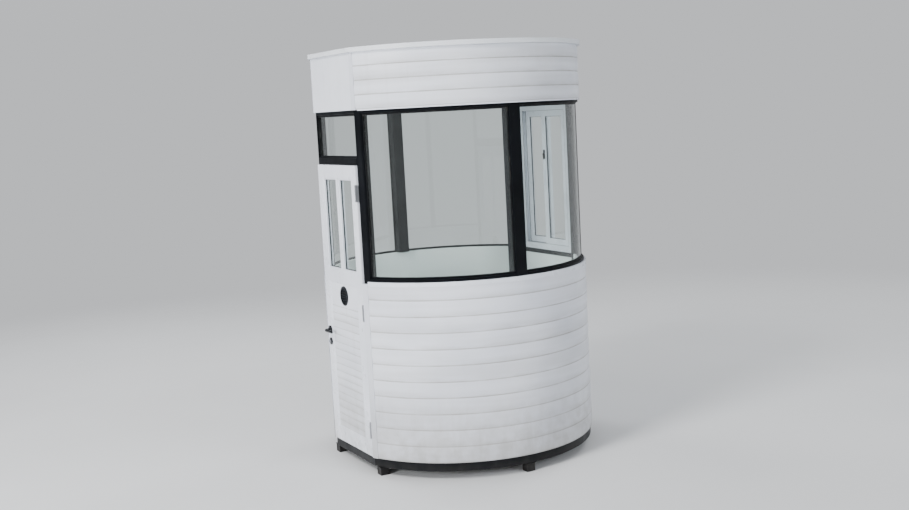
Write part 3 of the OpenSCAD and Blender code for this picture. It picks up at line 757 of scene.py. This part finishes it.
def plank_stack(foot, top, pitch):
    """Depth and height of the outer face of planks, from the foot to the top."""
    points = []
    plank_foot = foot
    while plank_foot < top - JOINT_H:
        low = plank_foot + JOINT_H
        middle = plank_foot + (pitch + JOINT_H - GROOVE_H) / 2
        high = plank_foot + pitch - PLANK_LIP
        points += [(JOINT_D, plank_foot + FACE_END), (JOINT_D, low - JOINT_SLANT)]
        points += face_points(low, middle, True)
        points += [(GROOVE_D, middle + GROOVE_H - JOINT_SLANT)]
        points += face_points(middle + GROOVE_H, high, False)
        points += [(JOINT_D - LIP_SLANT, high + 0.5 * PLANK_LIP)]
        plank_foot += pitch
    kept = [point for point in points if point[1] < top - FACE_END]
    return kept + [(kept[-1][0], top)]


def skin_wave(angle, height):
    """The sheet's own slow waves, a fraction of a millimetre."""
    return sum(far * sin(across * angle + up * height + start) for far, across, up, start in WAVES)


for side, name in SIDES:
    for part, x, foot, top, pitch in (
            ("cladding", TRIM_X, WALL_FOOT, WALL_TOP, PLANK_H),
            ("fascia", FASCIA_TRIM_X, HEAD_TOP, FASCIA_TOP, FASCIA_PLANK_H)):
        bm = bmesh.new()
        face = [(OUTER_R - depth, height) for depth, height in plank_stack(foot, top, pitch)]
        round_sweep(bm, face + [(FRAME_R, top), (FRAME_R, foot)], side, x, skin_wave)
        make_piece(f"{part}_planks_{name}", bm, f"{part}_white", stands_for=f"{part}_{name}")

bm = bmesh.new()
face = [(FLAT_Y - depth, height) for depth, height in plank_stack(WALL_FOOT, WALL_TOP, PLANK_H)]
sweep(bm, face + [(FLAT_Y - SKIN_T, WALL_TOP), (FLAT_Y - SKIN_T, WALL_FOOT)],
      along_x(-FLAT_HALF, FLAT_HALF))
make_piece("cladding_planks_under_window", bm, "cladding_white", stands_for="cladding_under_window")


# Trims of the skin: strips at the corners with their screws, a cap that covers the top of
# the cladding and the foot of the sill rail, and a drip edge under the fascia

PROUD = 0.002
STRIP_ROUND = 0.0015
STRIP_SCREW_MARGIN = 0.06
bm = bmesh.new()
screws = bmesh.new()
for side in (-1, 1):
    for foot, top, end_x, count in ((WALL_FOOT, WALL_TOP, TRIM_X, 5),
                                    (HEAD_TOP, FASCIA_TOP, FASCIA_TRIM_X, 2)):
        section = rounded(FRAME_R, foot, OUTER_R + PROUD, top, STRIP_ROUND)
        middle = asin((FLAT_HALF + end_x) / 2 / OUTER_R)
        for limits in (lambda r: (asin(FLAT_HALF / r), asin(end_x / r)),
                       lambda r: (pi - asin(end_x / r), pi - asin(FLAT_HALF / r))):
            sweep(bm, section, round_booth(side, limits), steps=6)
        for angle in (middle, pi - middle):
            out = Vector((side * sin(angle), -cos(angle), 0))
            for height in spaced(foot + STRIP_SCREW_MARGIN, top - STRIP_SCREW_MARGIN, count):
                spot = out * (OUTER_R + PROUD) + Vector((0, 0, height))
                screw(screws, spot, out, radius=0.003)
make_piece("corner_trim_strips", bm, "trim_grey", edge=STRIP_ROUND, stands_for="corner_trims")
make_piece("corner_trim_screws", screws, "trim_grey")

CAP_DOWN = 0.014
CAP_UP = 0.0135
CAP_GAP = 0.0002
FLAT_CAP_GAP = 0.002
DRIP_DOWN = 0.005
DRIP_UP = 0.004
DRIP_PROUD = 0.001
bm = bmesh.new()
for side in (-1, 1):
    for low, outer, high in ((WALL_TOP - CAP_DOWN, OUTER_R + PROUD, WALL_TOP + CAP_UP),
                             (HEAD_TOP - DRIP_DOWN, OUTER_R + DRIP_PROUD, HEAD_TOP + DRIP_UP)):
        round_sweep(bm, rounded(FRAME_R + CAP_GAP, low, outer, high, TRIM_ROUND), side, BAY_X)
cap_in_y = FLAT_Y - SKIN_T + FLAT_CAP_GAP
section = rounded(cap_in_y, WALL_TOP - CAP_DOWN, FLAT_Y + PROUD, WALL_TOP, TRIM_ROUND)
sweep(bm, section, along_x(-FLAT_HALF, FLAT_HALF))
make_piece("cladding_cap_and_drip_edge", bm, "frame_white")


# Roof edge, laps of the roof sheet with their screws, and strips over the ceiling's joints

EDGE_R = OUTER_R + ROOF_OVERHANG
EDGE_Y = FLAT_Y + ROOF_OVERHANG
EDGE_X = sqrt(EDGE_R ** 2 - EDGE_Y ** 2)
FLANGE_W = 0.040
EDGE_T = 0.003
corner = asin(EDGE_X / EDGE_R)
channel = soften([
    (0.0, FASCIA_TOP), (FLANGE_W, FASCIA_TOP), (FLANGE_W, FASCIA_TOP + EDGE_T),
    (EDGE_T, FASCIA_TOP + EDGE_T), (EDGE_T, ROOF_TOP - EDGE_T), (FLANGE_W, ROOF_TOP - EDGE_T),
    (FLANGE_W, ROOF_TOP), (0.0, ROOF_TOP),
], radius=0.001, steps=2)
bm = bmesh.new()
for side in (-1, 1):
    section = [(EDGE_R - depth, height) for depth, height in channel]
    sweep(bm, section, round_booth(side, lambda r: (corner, pi - corner)), HALF_RING_STEPS)
    section = [(side * (EDGE_Y - depth), height) for depth, height in channel]
    sweep(bm, section, lambda point, share: (
        (2 * share - 1) * (EDGE_X * abs(point[0]) / EDGE_Y - FIT_GAP), point[0], point[1]))
make_piece("roof_edge_channel", bm, "roof_edge", stands_for="roof_trim")

LAP_X = 0.29
LAP_H = 0.0024
LAP = [(-0.016, 0), (0.016, 0), (0.015, LAP_H), (0, LAP_H), (-0.015, 0.6 * LAP_H)]
STRIP_END_GAP = 0.004
ROOF_SCREWS = 9
ROOF_SCREW_MARGIN = 0.05
sheet_top = ROOF_TOP - EDGE_T
reach = EDGE_Y - FLANGE_W - STRIP_END_GAP
bm = bmesh.new()
screws = bmesh.new()
for x in (-LAP_X, LAP_X):
    section = soften([(x + across, sheet_top + up) for across, up in LAP], radius=0.0006, steps=2)
    sweep(bm, section, along_y(-reach, reach))
    for y in spaced(ROOF_SCREW_MARGIN - reach, reach - ROOF_SCREW_MARGIN, ROOF_SCREWS):
        screw(screws, (x, y, sheet_top), (0, 0, 1), radius=0.0045)
make_piece("roof_sheet_laps", bm, "roof_sheet")
make_piece("roof_screws", screws, "hinge_steel")

STRIP_Y = 0.27
STRIP_HALF = 0.015
STRIP_T = 0.002
reach = sqrt((HEAD_RAIL_IN_R - STRIP_END_GAP) ** 2 - (STRIP_Y + STRIP_HALF) ** 2)
bm = bmesh.new()
for y in (-STRIP_Y, STRIP_Y):
    section = rounded(y - STRIP_HALF, HEAD_TOP - STRIP_T, y + STRIP_HALF, HEAD_TOP, FINE_ROUND, 2)
    sweep(bm, section, along_x(-reach, reach))
make_piece("ceiling_joint_strips", bm, "ceiling_board")


# Service window: beads and seals of the sashes, brush strips, latch and drain hoods

# Outlines as distance inwards and height above the sash's face
SASH_BEAD = ((0.0, -0.0024), (0.0, -0.0004), (0.003, -0.0004), (0.0078, -0.0018), (0.0078, -0.0024))
SASH_BRUSH = oblong(-0.001, 0.0003, 0.0016, 0.0022)
SASH_SEAL_SHOWS = 0.0025
PANE_SEAL_LAP = 0.001
PANE_SEAL_T = 0.003


def off_face(face, out, outline):
    """An outline whose heights are measured out from a face, as (distance inwards, y)."""
    return [(inset, face + out * height) for inset, height in outline]


def pane_seal(bm, pane, bead_w, shows, glass_face, out):
    """The rubber between a pane and the beads round it."""
    section = rounded(bead_w - PANE_SEAL_LAP, glass_face, bead_w + shows,
                      glass_face + out * PANE_SEAL_T, FINE_ROUND, 2)
    mitred_bars(bm, grown(pane, bead_w), section, 0.0)


window_low, window_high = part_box("window_frame")
light = grown((window_low.x, window_low.z, window_high.x, window_high.z), -WINDOW_FRAME_W)
beads = bmesh.new()
seals = bmesh.new()
brushes = bmesh.new()
for node, seat_low, seat_high in (("window_sash_fixed", SASH_SEAT, 0.0),
                                  ("window_sash_sliding", 0.0, SASH_SEAT)):
    low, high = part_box(node)
    pane = (low.x + seat_low + SASH_W, low.z + SASH_SEAT + SASH_W,
            high.x - seat_high - SASH_W, high.z - SASH_SEAT - SASH_W)
    for face, out in ((high.y - SASH_T, -1), (high.y, 1)):
        bead = soften(off_face(face, out, SASH_BEAD), radius=0.0005, steps=2)
        mitred_bars(beads, grown(pane, SASH_BEAD_W), bead)
        glass_face = high.y - SASH_T / 2 + out * SASH_PANE_HALF_T
        pane_seal(seals, pane, SASH_BEAD_W, SASH_SEAL_SHOWS, glass_face, out)
        mitred_bars(brushes, light, off_face(face, out, SASH_BRUSH), 0.0)
make_piece("window_sash_beads", beads, "frame_white")
make_seal("window_sash_seals", seals)
make_seal("window_sash_brushes", brushes)

# Latch: plate, arm and boss, measured from a point on the face of the sliding sash's stile
LATCH_UP = 0.16
LATCH_PLATE = ((-0.011, -0.003, -0.032), (0.011, 0, 0.032))
LATCH_ARM = ((-0.0035, -0.011, -0.034), (0.0035, -0.007, 0.004))
LATCH_BOSS = ((0, 0.003), (0.009, 0.003), (0.009, 0.009), (0.0075, 0.011), (0, 0.011))
OUT = Vector((0, -1, 0))
low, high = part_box("window_sash_sliding")
latch = Vector((low.x + SASH_W / 2, high.y - SASH_T, (low.z + high.z) / 2 + LATCH_UP))
bm = bmesh.new()
for low, high in (LATCH_PLATE, LATCH_ARM):
    block(bm, latch + Vector(low), latch + Vector(high))
lathe(bm, LATCH_BOSS, latch, OUT)
make_piece("window_latch", bm, "handle_black", edge=FINE_ROUND)

HOOD_X = 0.18
HOOD_HALF = 0.016
HOOD = ((0, 0.008), (0.004, 0.008), (0.004, 0.013), (0, 0.018))
bm = bmesh.new()
section = [(window_high.y + out, window_low.z + up) for out, up in HOOD]
for x in (-HOOD_X, 0.0, HOOD_X):
    sweep(bm, section, along_x(x - HOOD_HALF, x + HOOD_HALF))
make_piece("window_drain_hoods", bm, "frame_white", edge=FINE_ROUND)

low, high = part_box("transom_glass")
bm = bmesh.new()
for side in (-1, 1):
    near_x = side * FLAT_HALF
    far_x = side * (FLAT_HALF - SEAL_H)
    for face, out in ((low.y, -1), (high.y, 1)):
        section = rounded(near_x, face, far_x, face + out * SEAL_W, TRIM_ROUND, 2)
        sweep(bm, section, along_z(low.z, high.z))
make_seal("transom_glass_seals", bm)


# Door leaf: its bars, and the beads and seals of its panes and panel

leaf_low, leaf_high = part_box("door_frame")
glass_low, glass_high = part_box("door_glass")
panel_low, panel_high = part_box("door_panel")
stile_in = glass_high.x
mullion_half = DOOR_MULLION_W / 2 - DOOR_BEAD_W
BAR_ROUND = 0.002
bm = bmesh.new()
for foot, top in ((leaf_low.z, panel_low.z), (panel_high.z, glass_low.z), (glass_high.z, leaf_high.z)):
    sweep(bm, rounded(leaf_low.y, foot, leaf_high.y, top, BAR_ROUND), along_x(-stile_in, stile_in))
for x0, x1, foot, top in ((leaf_low.x, -stile_in, leaf_low.z, leaf_high.z),
                          (stile_in, leaf_high.x, leaf_low.z, leaf_high.z),
                          (-stile_in, panel_low.x, panel_low.z, panel_high.z),
                          (panel_high.x, stile_in, panel_low.z, panel_high.z),
                          (-mullion_half, mullion_half, glass_low.z, glass_high.z)):
    sweep(bm, rounded(x0, leaf_low.y, x1, leaf_high.y, BAR_ROUND), along_z(foot, top))
make_piece("door_frame_members", bm, "frame_white", "door", FINE_ROUND, "door_frame")

# Outlines of the beads: what lies at the pane or the panel, and what lies below the leaf's face
PANE_BEAD_FOOT = ((0.0, FIT_GAP), (DOOR_BEAD_W, FIT_GAP))
PANE_BEAD_TOP = ((DOOR_BEAD_W, -0.0065), (0.0045, -0.0030), (0.0, -0.0030))
PANE_SEAL_SHOWS = 0.003
PANEL_BEAD_FOOT = ((0.011, 0.0), (-0.001, 0.0))
PANEL_BEAD_TOP = ((-0.001, -0.0008), (0.007, -0.0008))
pane_foot = glass_low.z + DOOR_BEAD_W
pane_top = glass_high.z - DOOR_BEAD_W
panel = (panel_low.x, panel_low.z, panel_high.x, panel_high.z)
beads = bmesh.new()
seals = bmesh.new()
panel_beads = bmesh.new()
for face, glass_face, panel_face, out in ((leaf_low.y, glass_low.y, panel_low.y, -1),
                                          (leaf_high.y, glass_high.y, panel_high.y, 1)):
    bead = off_face(glass_face, out, PANE_BEAD_FOOT) + off_face(face, out, PANE_BEAD_TOP)
    for pane in ((glass_low.x + DOOR_BEAD_W, pane_foot, -DOOR_MULLION_W / 2, pane_top),
                 (DOOR_MULLION_W / 2, pane_foot, glass_high.x - DOOR_BEAD_W, pane_top)):
        mitred_bars(beads, grown(pane, DOOR_BEAD_W), soften(bead, radius=0.001))
        pane_seal(seals, pane, DOOR_BEAD_W, PANE_SEAL_SHOWS, glass_face, out)
    bead = off_face(face, out, PANEL_BEAD_TOP) + off_face(panel_face, out, PANEL_BEAD_FOOT)
    mitred_bars(panel_beads, panel, soften(bead, radius=0.0006, steps=2))
make_piece("door_glazing_beads", beads, "frame_white", "door", edge=0.0003)
make_piece("door_panel_beads", panel_beads, "frame_white", "door", edge=0.0003)
make_seal("door_glass_seals", seals, "door")


# Seals round the door: a bulb on the stop, and a brush under the leaf

BULB_W = 0.008
BULB_D = 0.0034
BULB_GAP = 0.002
low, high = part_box("door_stop")
bulb_x = FLAT_HALF - BULB_GAP
bulb_z = high.z - BULB_GAP
bulb = [(BULB_W * (1 - cos(a)) / 2, -BULB_D * sin(a)) for a in spaced(0, pi, 9)]
bm = bmesh.new()
for side in (-1, 1):
    section = [(side * (bulb_x - along), low.y + out) for along, out in bulb]
    sweep(bm, section, along_z(low.z, bulb_z))
section = [(low.y + out, bulb_z - along) for along, out in bulb]
sweep(bm, section, along_x(-bulb_x, bulb_x))
make_seal("door_stop_gasket", bm)

BRUSH_HALF = 0.004
BRUSH_H = 0.003
leaf_mid_y = (leaf_low.y + leaf_high.y) / 2
bm = bmesh.new()
block(bm, (leaf_low.x + BRUSH_HALF, leaf_mid_y - BRUSH_HALF, leaf_low.z - BRUSH_H),
      (leaf_high.x - BRUSH_HALF, leaf_mid_y + BRUSH_HALF, leaf_low.z))
make_seal("door_bottom_brush", bm, "door")


# Round vent in the door

vent_low, vent_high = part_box("door_vent")
VENT_R = (vent_high.x - vent_low.x) / 2
VENT_CENTRE = Vector((0, panel_low.y, (vent_low.z + vent_high.z) / 2))
SLEEVE_R = 0.0537
SLEEVE_T = 0.003
SLEEVE_IN_R = SLEEVE_R - SLEEVE_T
SLEEVE_UP = 0.001
# Radius and height above the panel
FLANGE = ((SLEEVE_IN_R, 0.0), (VENT_R, 0.0), (VENT_R - 0.001, 0.0028), (SLEEVE_R + 0.002, 0.0040),
          (SLEEVE_IN_R, 0.0034))
SLATS = 6
SLAT_D = 0.014
SLAT_T = 0.0025
SLAT_TILT = radians(35)
SLAT_OUT = 0.004
SLAT_END_GAP = 0.0015
SLAT_REACH_UP = 0.004
bm = bmesh.new()
sleeve = oblong(SLEEVE_IN_R, panel_low.y - panel_high.y, SLEEVE_R, SLEEVE_UP)
for profile in (soften(FLANGE, FINE_ROUND, 2), sleeve):
    lathe(bm, profile, VENT_CENTRE, OUT, steps=64, closed=True)
slat = rounded(-SLAT_D / 2, -SLAT_T / 2, SLAT_D / 2, SLAT_T / 2, FINE_ROUND, 2)
slat_y = panel_low.y + SLAT_D / 2 - SLAT_OUT
for height in spaced(-SLEEVE_R, SLEEVE_R, SLATS + 2)[1:-1]:
    half = sqrt((SLEEVE_R - SLAT_END_GAP) ** 2 - (abs(height) + SLAT_REACH_UP) ** 2)
    section = [(slat_y + along * cos(SLAT_TILT) - across * sin(SLAT_TILT),
                VENT_CENTRE.z + height + along * sin(SLAT_TILT) + across * cos(SLAT_TILT))
               for along, across in slat]
    sweep(bm, section, along_x(-half, half))
make_piece("door_vent_grille", bm, "vent_black", "door", stands_for="door_vent")

MESH_PITCH = 0.003
MESH_IN = 0.004
MESH_R = SLEEVE_R - 0.001
WIRE_W = 0.0006
bm = bmesh.new()
wires = int(SLEEVE_R / MESH_PITCH)
mesh_y = panel_high.y - MESH_IN
cross_y = mesh_y + WIRE_W
for i in range(-wires, wires + 1):
    across = i * MESH_PITCH
    half = sqrt(MESH_R ** 2 - across ** 2)
    wire_z = VENT_CENTRE.z + across
    sweep(bm, oblong(mesh_y, wire_z - WIRE_W / 2, cross_y, wire_z + WIRE_W / 2), along_x(-half, half))
    sweep(bm, oblong(across - WIRE_W / 2, cross_y, across + WIRE_W / 2, cross_y + WIRE_W),
          along_z(VENT_CENTRE.z - half, VENT_CENTRE.z + half))
make_piece("door_vent_mesh", bm, "vent_black", "door")

VENT_SCREW_IN = 0.006
VENT_SCREW_UP = 0.0026
bm = bmesh.new()
for i in range(4):
    angle = radians(45 + 90 * i)
    spot = Vector((cos(angle), 0, sin(angle))) * (VENT_R - VENT_SCREW_IN)
    screw(bm, VENT_CENTRE + spot + OUT * VENT_SCREW_UP, OUT, radius=0.0028)
make_piece("door_vent_screws", bm, "vent_black", "door")


# Door handles and lock

handle_low, handle_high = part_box("door_handles")
HANDLE_X = leaf_low.x + 0.042
HANDLE_Z = handle_high.z - 0.026
LOCK_DROP = 0.078
# Outlines as radius and height above the leaf's face
ROSE = ((0, 0.0), (0.026, 0.0), (0.026, 0.006), (0.0245, 0.0082), (0.022, 0.009), (0, 0.0092))
LOCK = ((0, 0.0), (0.0235, 0.0), (0.0235, 0.004), (0.022, 0.006), (0.019, 0.0065), (0, 0.0065))
BARREL = ((0.0012, 0.006), (0.0085, 0.006), (0.0085, 0.0085), (0.0078, 0.0092), (0.0012, 0.0092))
NECK_R = 0.009
NECK_FOOT = 0.004
BEND_R = 0.016
LEVER_L = 0.112
LEVER_SIDES = 20
# The grip's middle line: how far along, and how far it falls back to the leaf
GRIP = ((0.045, 0.0), (0.080, 0.0005), (0.102, 0.002), (LEVER_L - 0.006, 0.003),
        (LEVER_L - 0.0015, 0.0035))
GRIP_IN = 0.0085
GRIP_FULL_X = 0.05
GRIP_THINNER = 0.0025
GRIP_TALLER = 0.001
TIP_SHARE = 0.55


def lever(bm, face_y, outward, reach):
    """A lever: a rose, a neck that stands out from the door, a bend and a grip along +X."""
    lathe(bm, ROSE, (HANDLE_X, face_y, HANDLE_Z), (0, outward, 0), steps=40)
    straight = reach - GRIP_IN
    path = [(0.0, NECK_FOOT), (0.0, straight - BEND_R)]
    path += [(BEND_R * (1 - cos(a)), straight - BEND_R + BEND_R * sin(a))
             for a in spaced(0, pi / 2, 7)[1:]]
    path += [(x, straight - back) for x, back in GRIP]
    rings = []
    for i, (x, y) in enumerate(path):
        before = Vector(path[max(i - 1, 0)])
        after = Vector(path[min(i + 1, len(path) - 1)])
        heading = (after - before).normalized()
        grip = min(1.0, x / GRIP_FULL_X)
        size = TIP_SHARE if i == len(path) - 1 else 1.0
        thick = (NECK_R - GRIP_THINNER * grip) * size
        tall = (NECK_R + GRIP_TALLER * grip) * size
        rings.append([
            bm.verts.new((
                HANDLE_X + x + heading.y * thick * cos(a),
                face_y + outward * (y - heading.x * thick * cos(a)),
                HANDLE_Z + tall * sin(a),
            ))
            for a in circle(LEVER_SIDES)
        ])
    join_rings(bm, rings)


bm = bmesh.new()
barrels = bmesh.new()
for face_y, outward, reach in ((leaf_low.y, -1, leaf_low.y - handle_low.y),
                               (leaf_high.y, 1, handle_high.y - leaf_high.y)):
    lever(bm, face_y, outward, reach)
    centre = (HANDLE_X, face_y, HANDLE_Z - LOCK_DROP)
    lathe(bm, LOCK, centre, (0, outward, 0), steps=40)
    lathe(barrels, BARREL, centre, (0, outward, 0), steps=28, closed=True)
make_piece("door_levers_and_roses", bm, "handle_black", "door", stands_for="door_handles")
make_piece("door_lock_barrels", barrels, "hinge_steel", "door")


# Lock plates on the leaf's edge and on the post, and the screws and tips of the hinges

PLATE_T = 0.0008
PLATE_SCREW_IN = 0.010
SCREW_SUNK = 0.6
BOLT_HALF_W = 0.007
BOLT_OUT = 0.0002
# Heights and half heights of the latch bolt and of the lock's bolt
BOLTS = ((HANDLE_Z, 0.011), (HANDLE_Z - LOCK_DROP, 0.014))
for body, face_x, out, half_w, low_z, high_z in (
        ("door", leaf_low.x, -1, 0.011, HANDLE_Z - 0.150, HANDLE_Z + 0.060),
        ("cabin", -FLAT_HALF, 1, 0.013, HANDLE_Z - 0.115, HANDLE_Z + 0.035)):
    bm = bmesh.new()
    plate = rounded(leaf_mid_y - half_w, low_z, leaf_mid_y + half_w, high_z, radius=0.006, steps=6)
    sweep(bm, plate, along_x(face_x, face_x + out * PLATE_T))
    for height in (low_z + PLATE_SCREW_IN, high_z - PLATE_SCREW_IN):
        spot = (face_x + out * PLATE_T * SCREW_SUNK, leaf_mid_y, height)
        screw(bm, spot, (out, 0, 0), radius=0.0032)
    make_piece(f"{body}_lock_plate", bm, "hinge_steel", body)
    bm = bmesh.new()
    run = along_x(face_x + out * BOLT_OUT, face_x + out * (PLATE_T + BOLT_OUT))
    for height, half_h in BOLTS:
        sweep(bm, oblong(leaf_mid_y - BOLT_HALF_W, height - half_h,
                         leaf_mid_y + BOLT_HALF_W, height + half_h), run)
    if body == "door":
        make_piece("door_lock_bolts", bm, "hinge_steel", body, edge=0.0001)
    else:
        # Painted shade: on the post, dark rubber blocks stand where the strike holes are, for the dark
        # inside the holes
        make_seal("cabin_strike_hole_shade", bm)

HINGE_PLATE_T = 0.0022
HINGE_AXIS_GAP = 0.0025
TIP = ((0, 0), (KNUCKLE_R - 0.0004, 0), (KNUCKLE_R - 0.0004, 0.0008), (0.0035, 0.0024), (0, 0.003))
SCREW_RING = oblong(0.0008, 0.0, 0.0034, 0.0001)
# Heights of a hinge's screws over its foot, and how far they lie from the plates' inner edge
HINGE_SCREWS = ((0.018, 0.018), (0.050, 0.010), (0.082, 0.018))
low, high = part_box("post_hinge_halves")
tips = bmesh.new()
door_screws = bmesh.new()
post_screws = bmesh.new()
for foot in (low.z, (low.z + high.z - HINGE_H) / 2, high.z - HINGE_H):
    for height, up in ((foot + HINGE_H, 1), (foot, -1)):
        centre = (leaf_high.x + HINGE_AXIS_GAP, low.y + KNUCKLE_R, height)
        lathe(tips, TIP, centre, (0, 0, up), steps=20)
    for height, inwards in HINGE_SCREWS:
        for screws, x, out in ((door_screws, leaf_high.x + HINGE_PLATE_T, 1),
                               (post_screws, FLAT_HALF - HINGE_PLATE_T, -1)):
            lathe(screws, SCREW_RING, (x, high.y - inwards, foot + height), (out, 0, 0),
                  steps=16, closed=True)
make_piece("hinge_tips", tips, "hinge_steel")
make_piece("door_hinge_screws", door_screws, "hinge_steel", "door")
make_piece("post_hinge_screws", post_screws, "hinge_steel")


# Stage, light and camera

FADE_FROM = 3.5
FADE_TO = 9.0
SKY_LIGHT = 0.45


def backdrop_floor():
    """Plain floor that fades out into the world beyond a few metres."""
    made = Finish("studio_floor")
    made.paint(made.patches(0.7, 0.3, 0.7), rgb(216, 217, 218), rgb(212, 213, 214))
    made.shader.inputs["Roughness"].default_value = 0.8
    made.shader.inputs["Specular IOR Level"].default_value = 0.15
    distance = made.nodes.new("ShaderNodeVectorMath")
    distance.operation = "LENGTH"
    made.put(distance.inputs[0], made.place)
    fade = made.spread(distance.outputs["Value"], FADE_FROM, FADE_TO)
    gone = made.node("ShaderNodeBsdfTransparent", 0)
    made.mix_shaders(fade, made.shader.outputs[0], gone)
    return made.material


floor_mesh = bpy.data.meshes.new("studio_floor")
bm = bmesh.new()
bmesh.ops.create_circle(bm, cap_ends=True, segments=96, radius=12)
bm.to_mesh(floor_mesh)
bm.free()
floor_mesh.materials.append(backdrop_floor())
put_in_scene("studio_floor", floor_mesh)

# The sky is pale low down and paler above, and lights less than it shows
world = bpy.data.worlds.new("studio")
sky = NodeTree(world)
ahead = sky.node("ShaderNodeTexCoord", "Generated")
shades = sky.nodes.new("ShaderNodeValToRGB")
sky.put(shades.inputs[0], sky.node("ShaderNodeSeparateXYZ", "Z", Vector=ahead))
horizon, zenith = shades.color_ramp.elements
horizon.position = 0.08
horizon.color = rgb(214, 216, 219)
zenith.position = 0.75
zenith.color = rgb(246, 248, 252)
paths = sky.nodes.new("ShaderNodeLightPath").outputs
seen = sky.maths("MAXIMUM", paths["Is Camera Ray"], paths["Is Transmission Ray"])
background = sky.nodes["Background"].inputs
sky.put(background["Color"], shades.outputs[0])
sky.put(background["Strength"], sky.spread(seen, 0.0, 1.0, SKY_LIGHT, 1.0))
bpy.context.scene.world = world


def aim(thing, target, roll=0.0):
    """Points a light or the camera at a target."""
    direction = Vector(target) - thing.location
    facing = direction.to_track_quat("-Z", "Y").to_matrix()
    thing.rotation_euler = (facing @ Matrix.Rotation(roll, 3, "Z")).to_euler()


def soft_light(name, place, size, watts, colour):
    """A round lamp that lights the booth's middle and isn't seen itself."""
    lamp = bpy.data.lights.new(name, "AREA")
    lamp.shape = "DISK"
    lamp.size = size
    lamp.energy = watts
    lamp.color = colour
    thing = put_in_scene(name, lamp)
    thing.location = place
    thing.visible_camera = thing.visible_glossy = thing.visible_transmission = False
    aim(thing, LIT_POINT)


LIT_POINT = (0, 0, 1.3)
soft_light("key_light", (2.8, -6.6, 7.2), 2.6, 700, (1.0, 0.99, 0.98))
soft_light("low_light", (3.6, -8.8, 2.4), 3.0, 900, (0.98, 0.99, 1.0))
soft_light("fill_light", (9.0, 3.5, 4.0), 4.0, 480, (0.93, 0.96, 1.0))
soft_light("left_light", (-7.5, -2.0, 5.0), 4.0, 380, (0.95, 0.97, 1.0))
soft_light("back_light", (-3.0, 8.0, 6.0), 4.0, 420, (0.96, 0.98, 1.0))

camera_data = bpy.data.cameras.new("camera")
camera_data.lens = 47.0
camera = put_in_scene("camera", camera_data)
camera.location = (6.945, -3.716, 2.222)
aim(camera, target=(0, 0, 1.28), roll=radians(-3.05))
bpy.context.scene.camera = camera
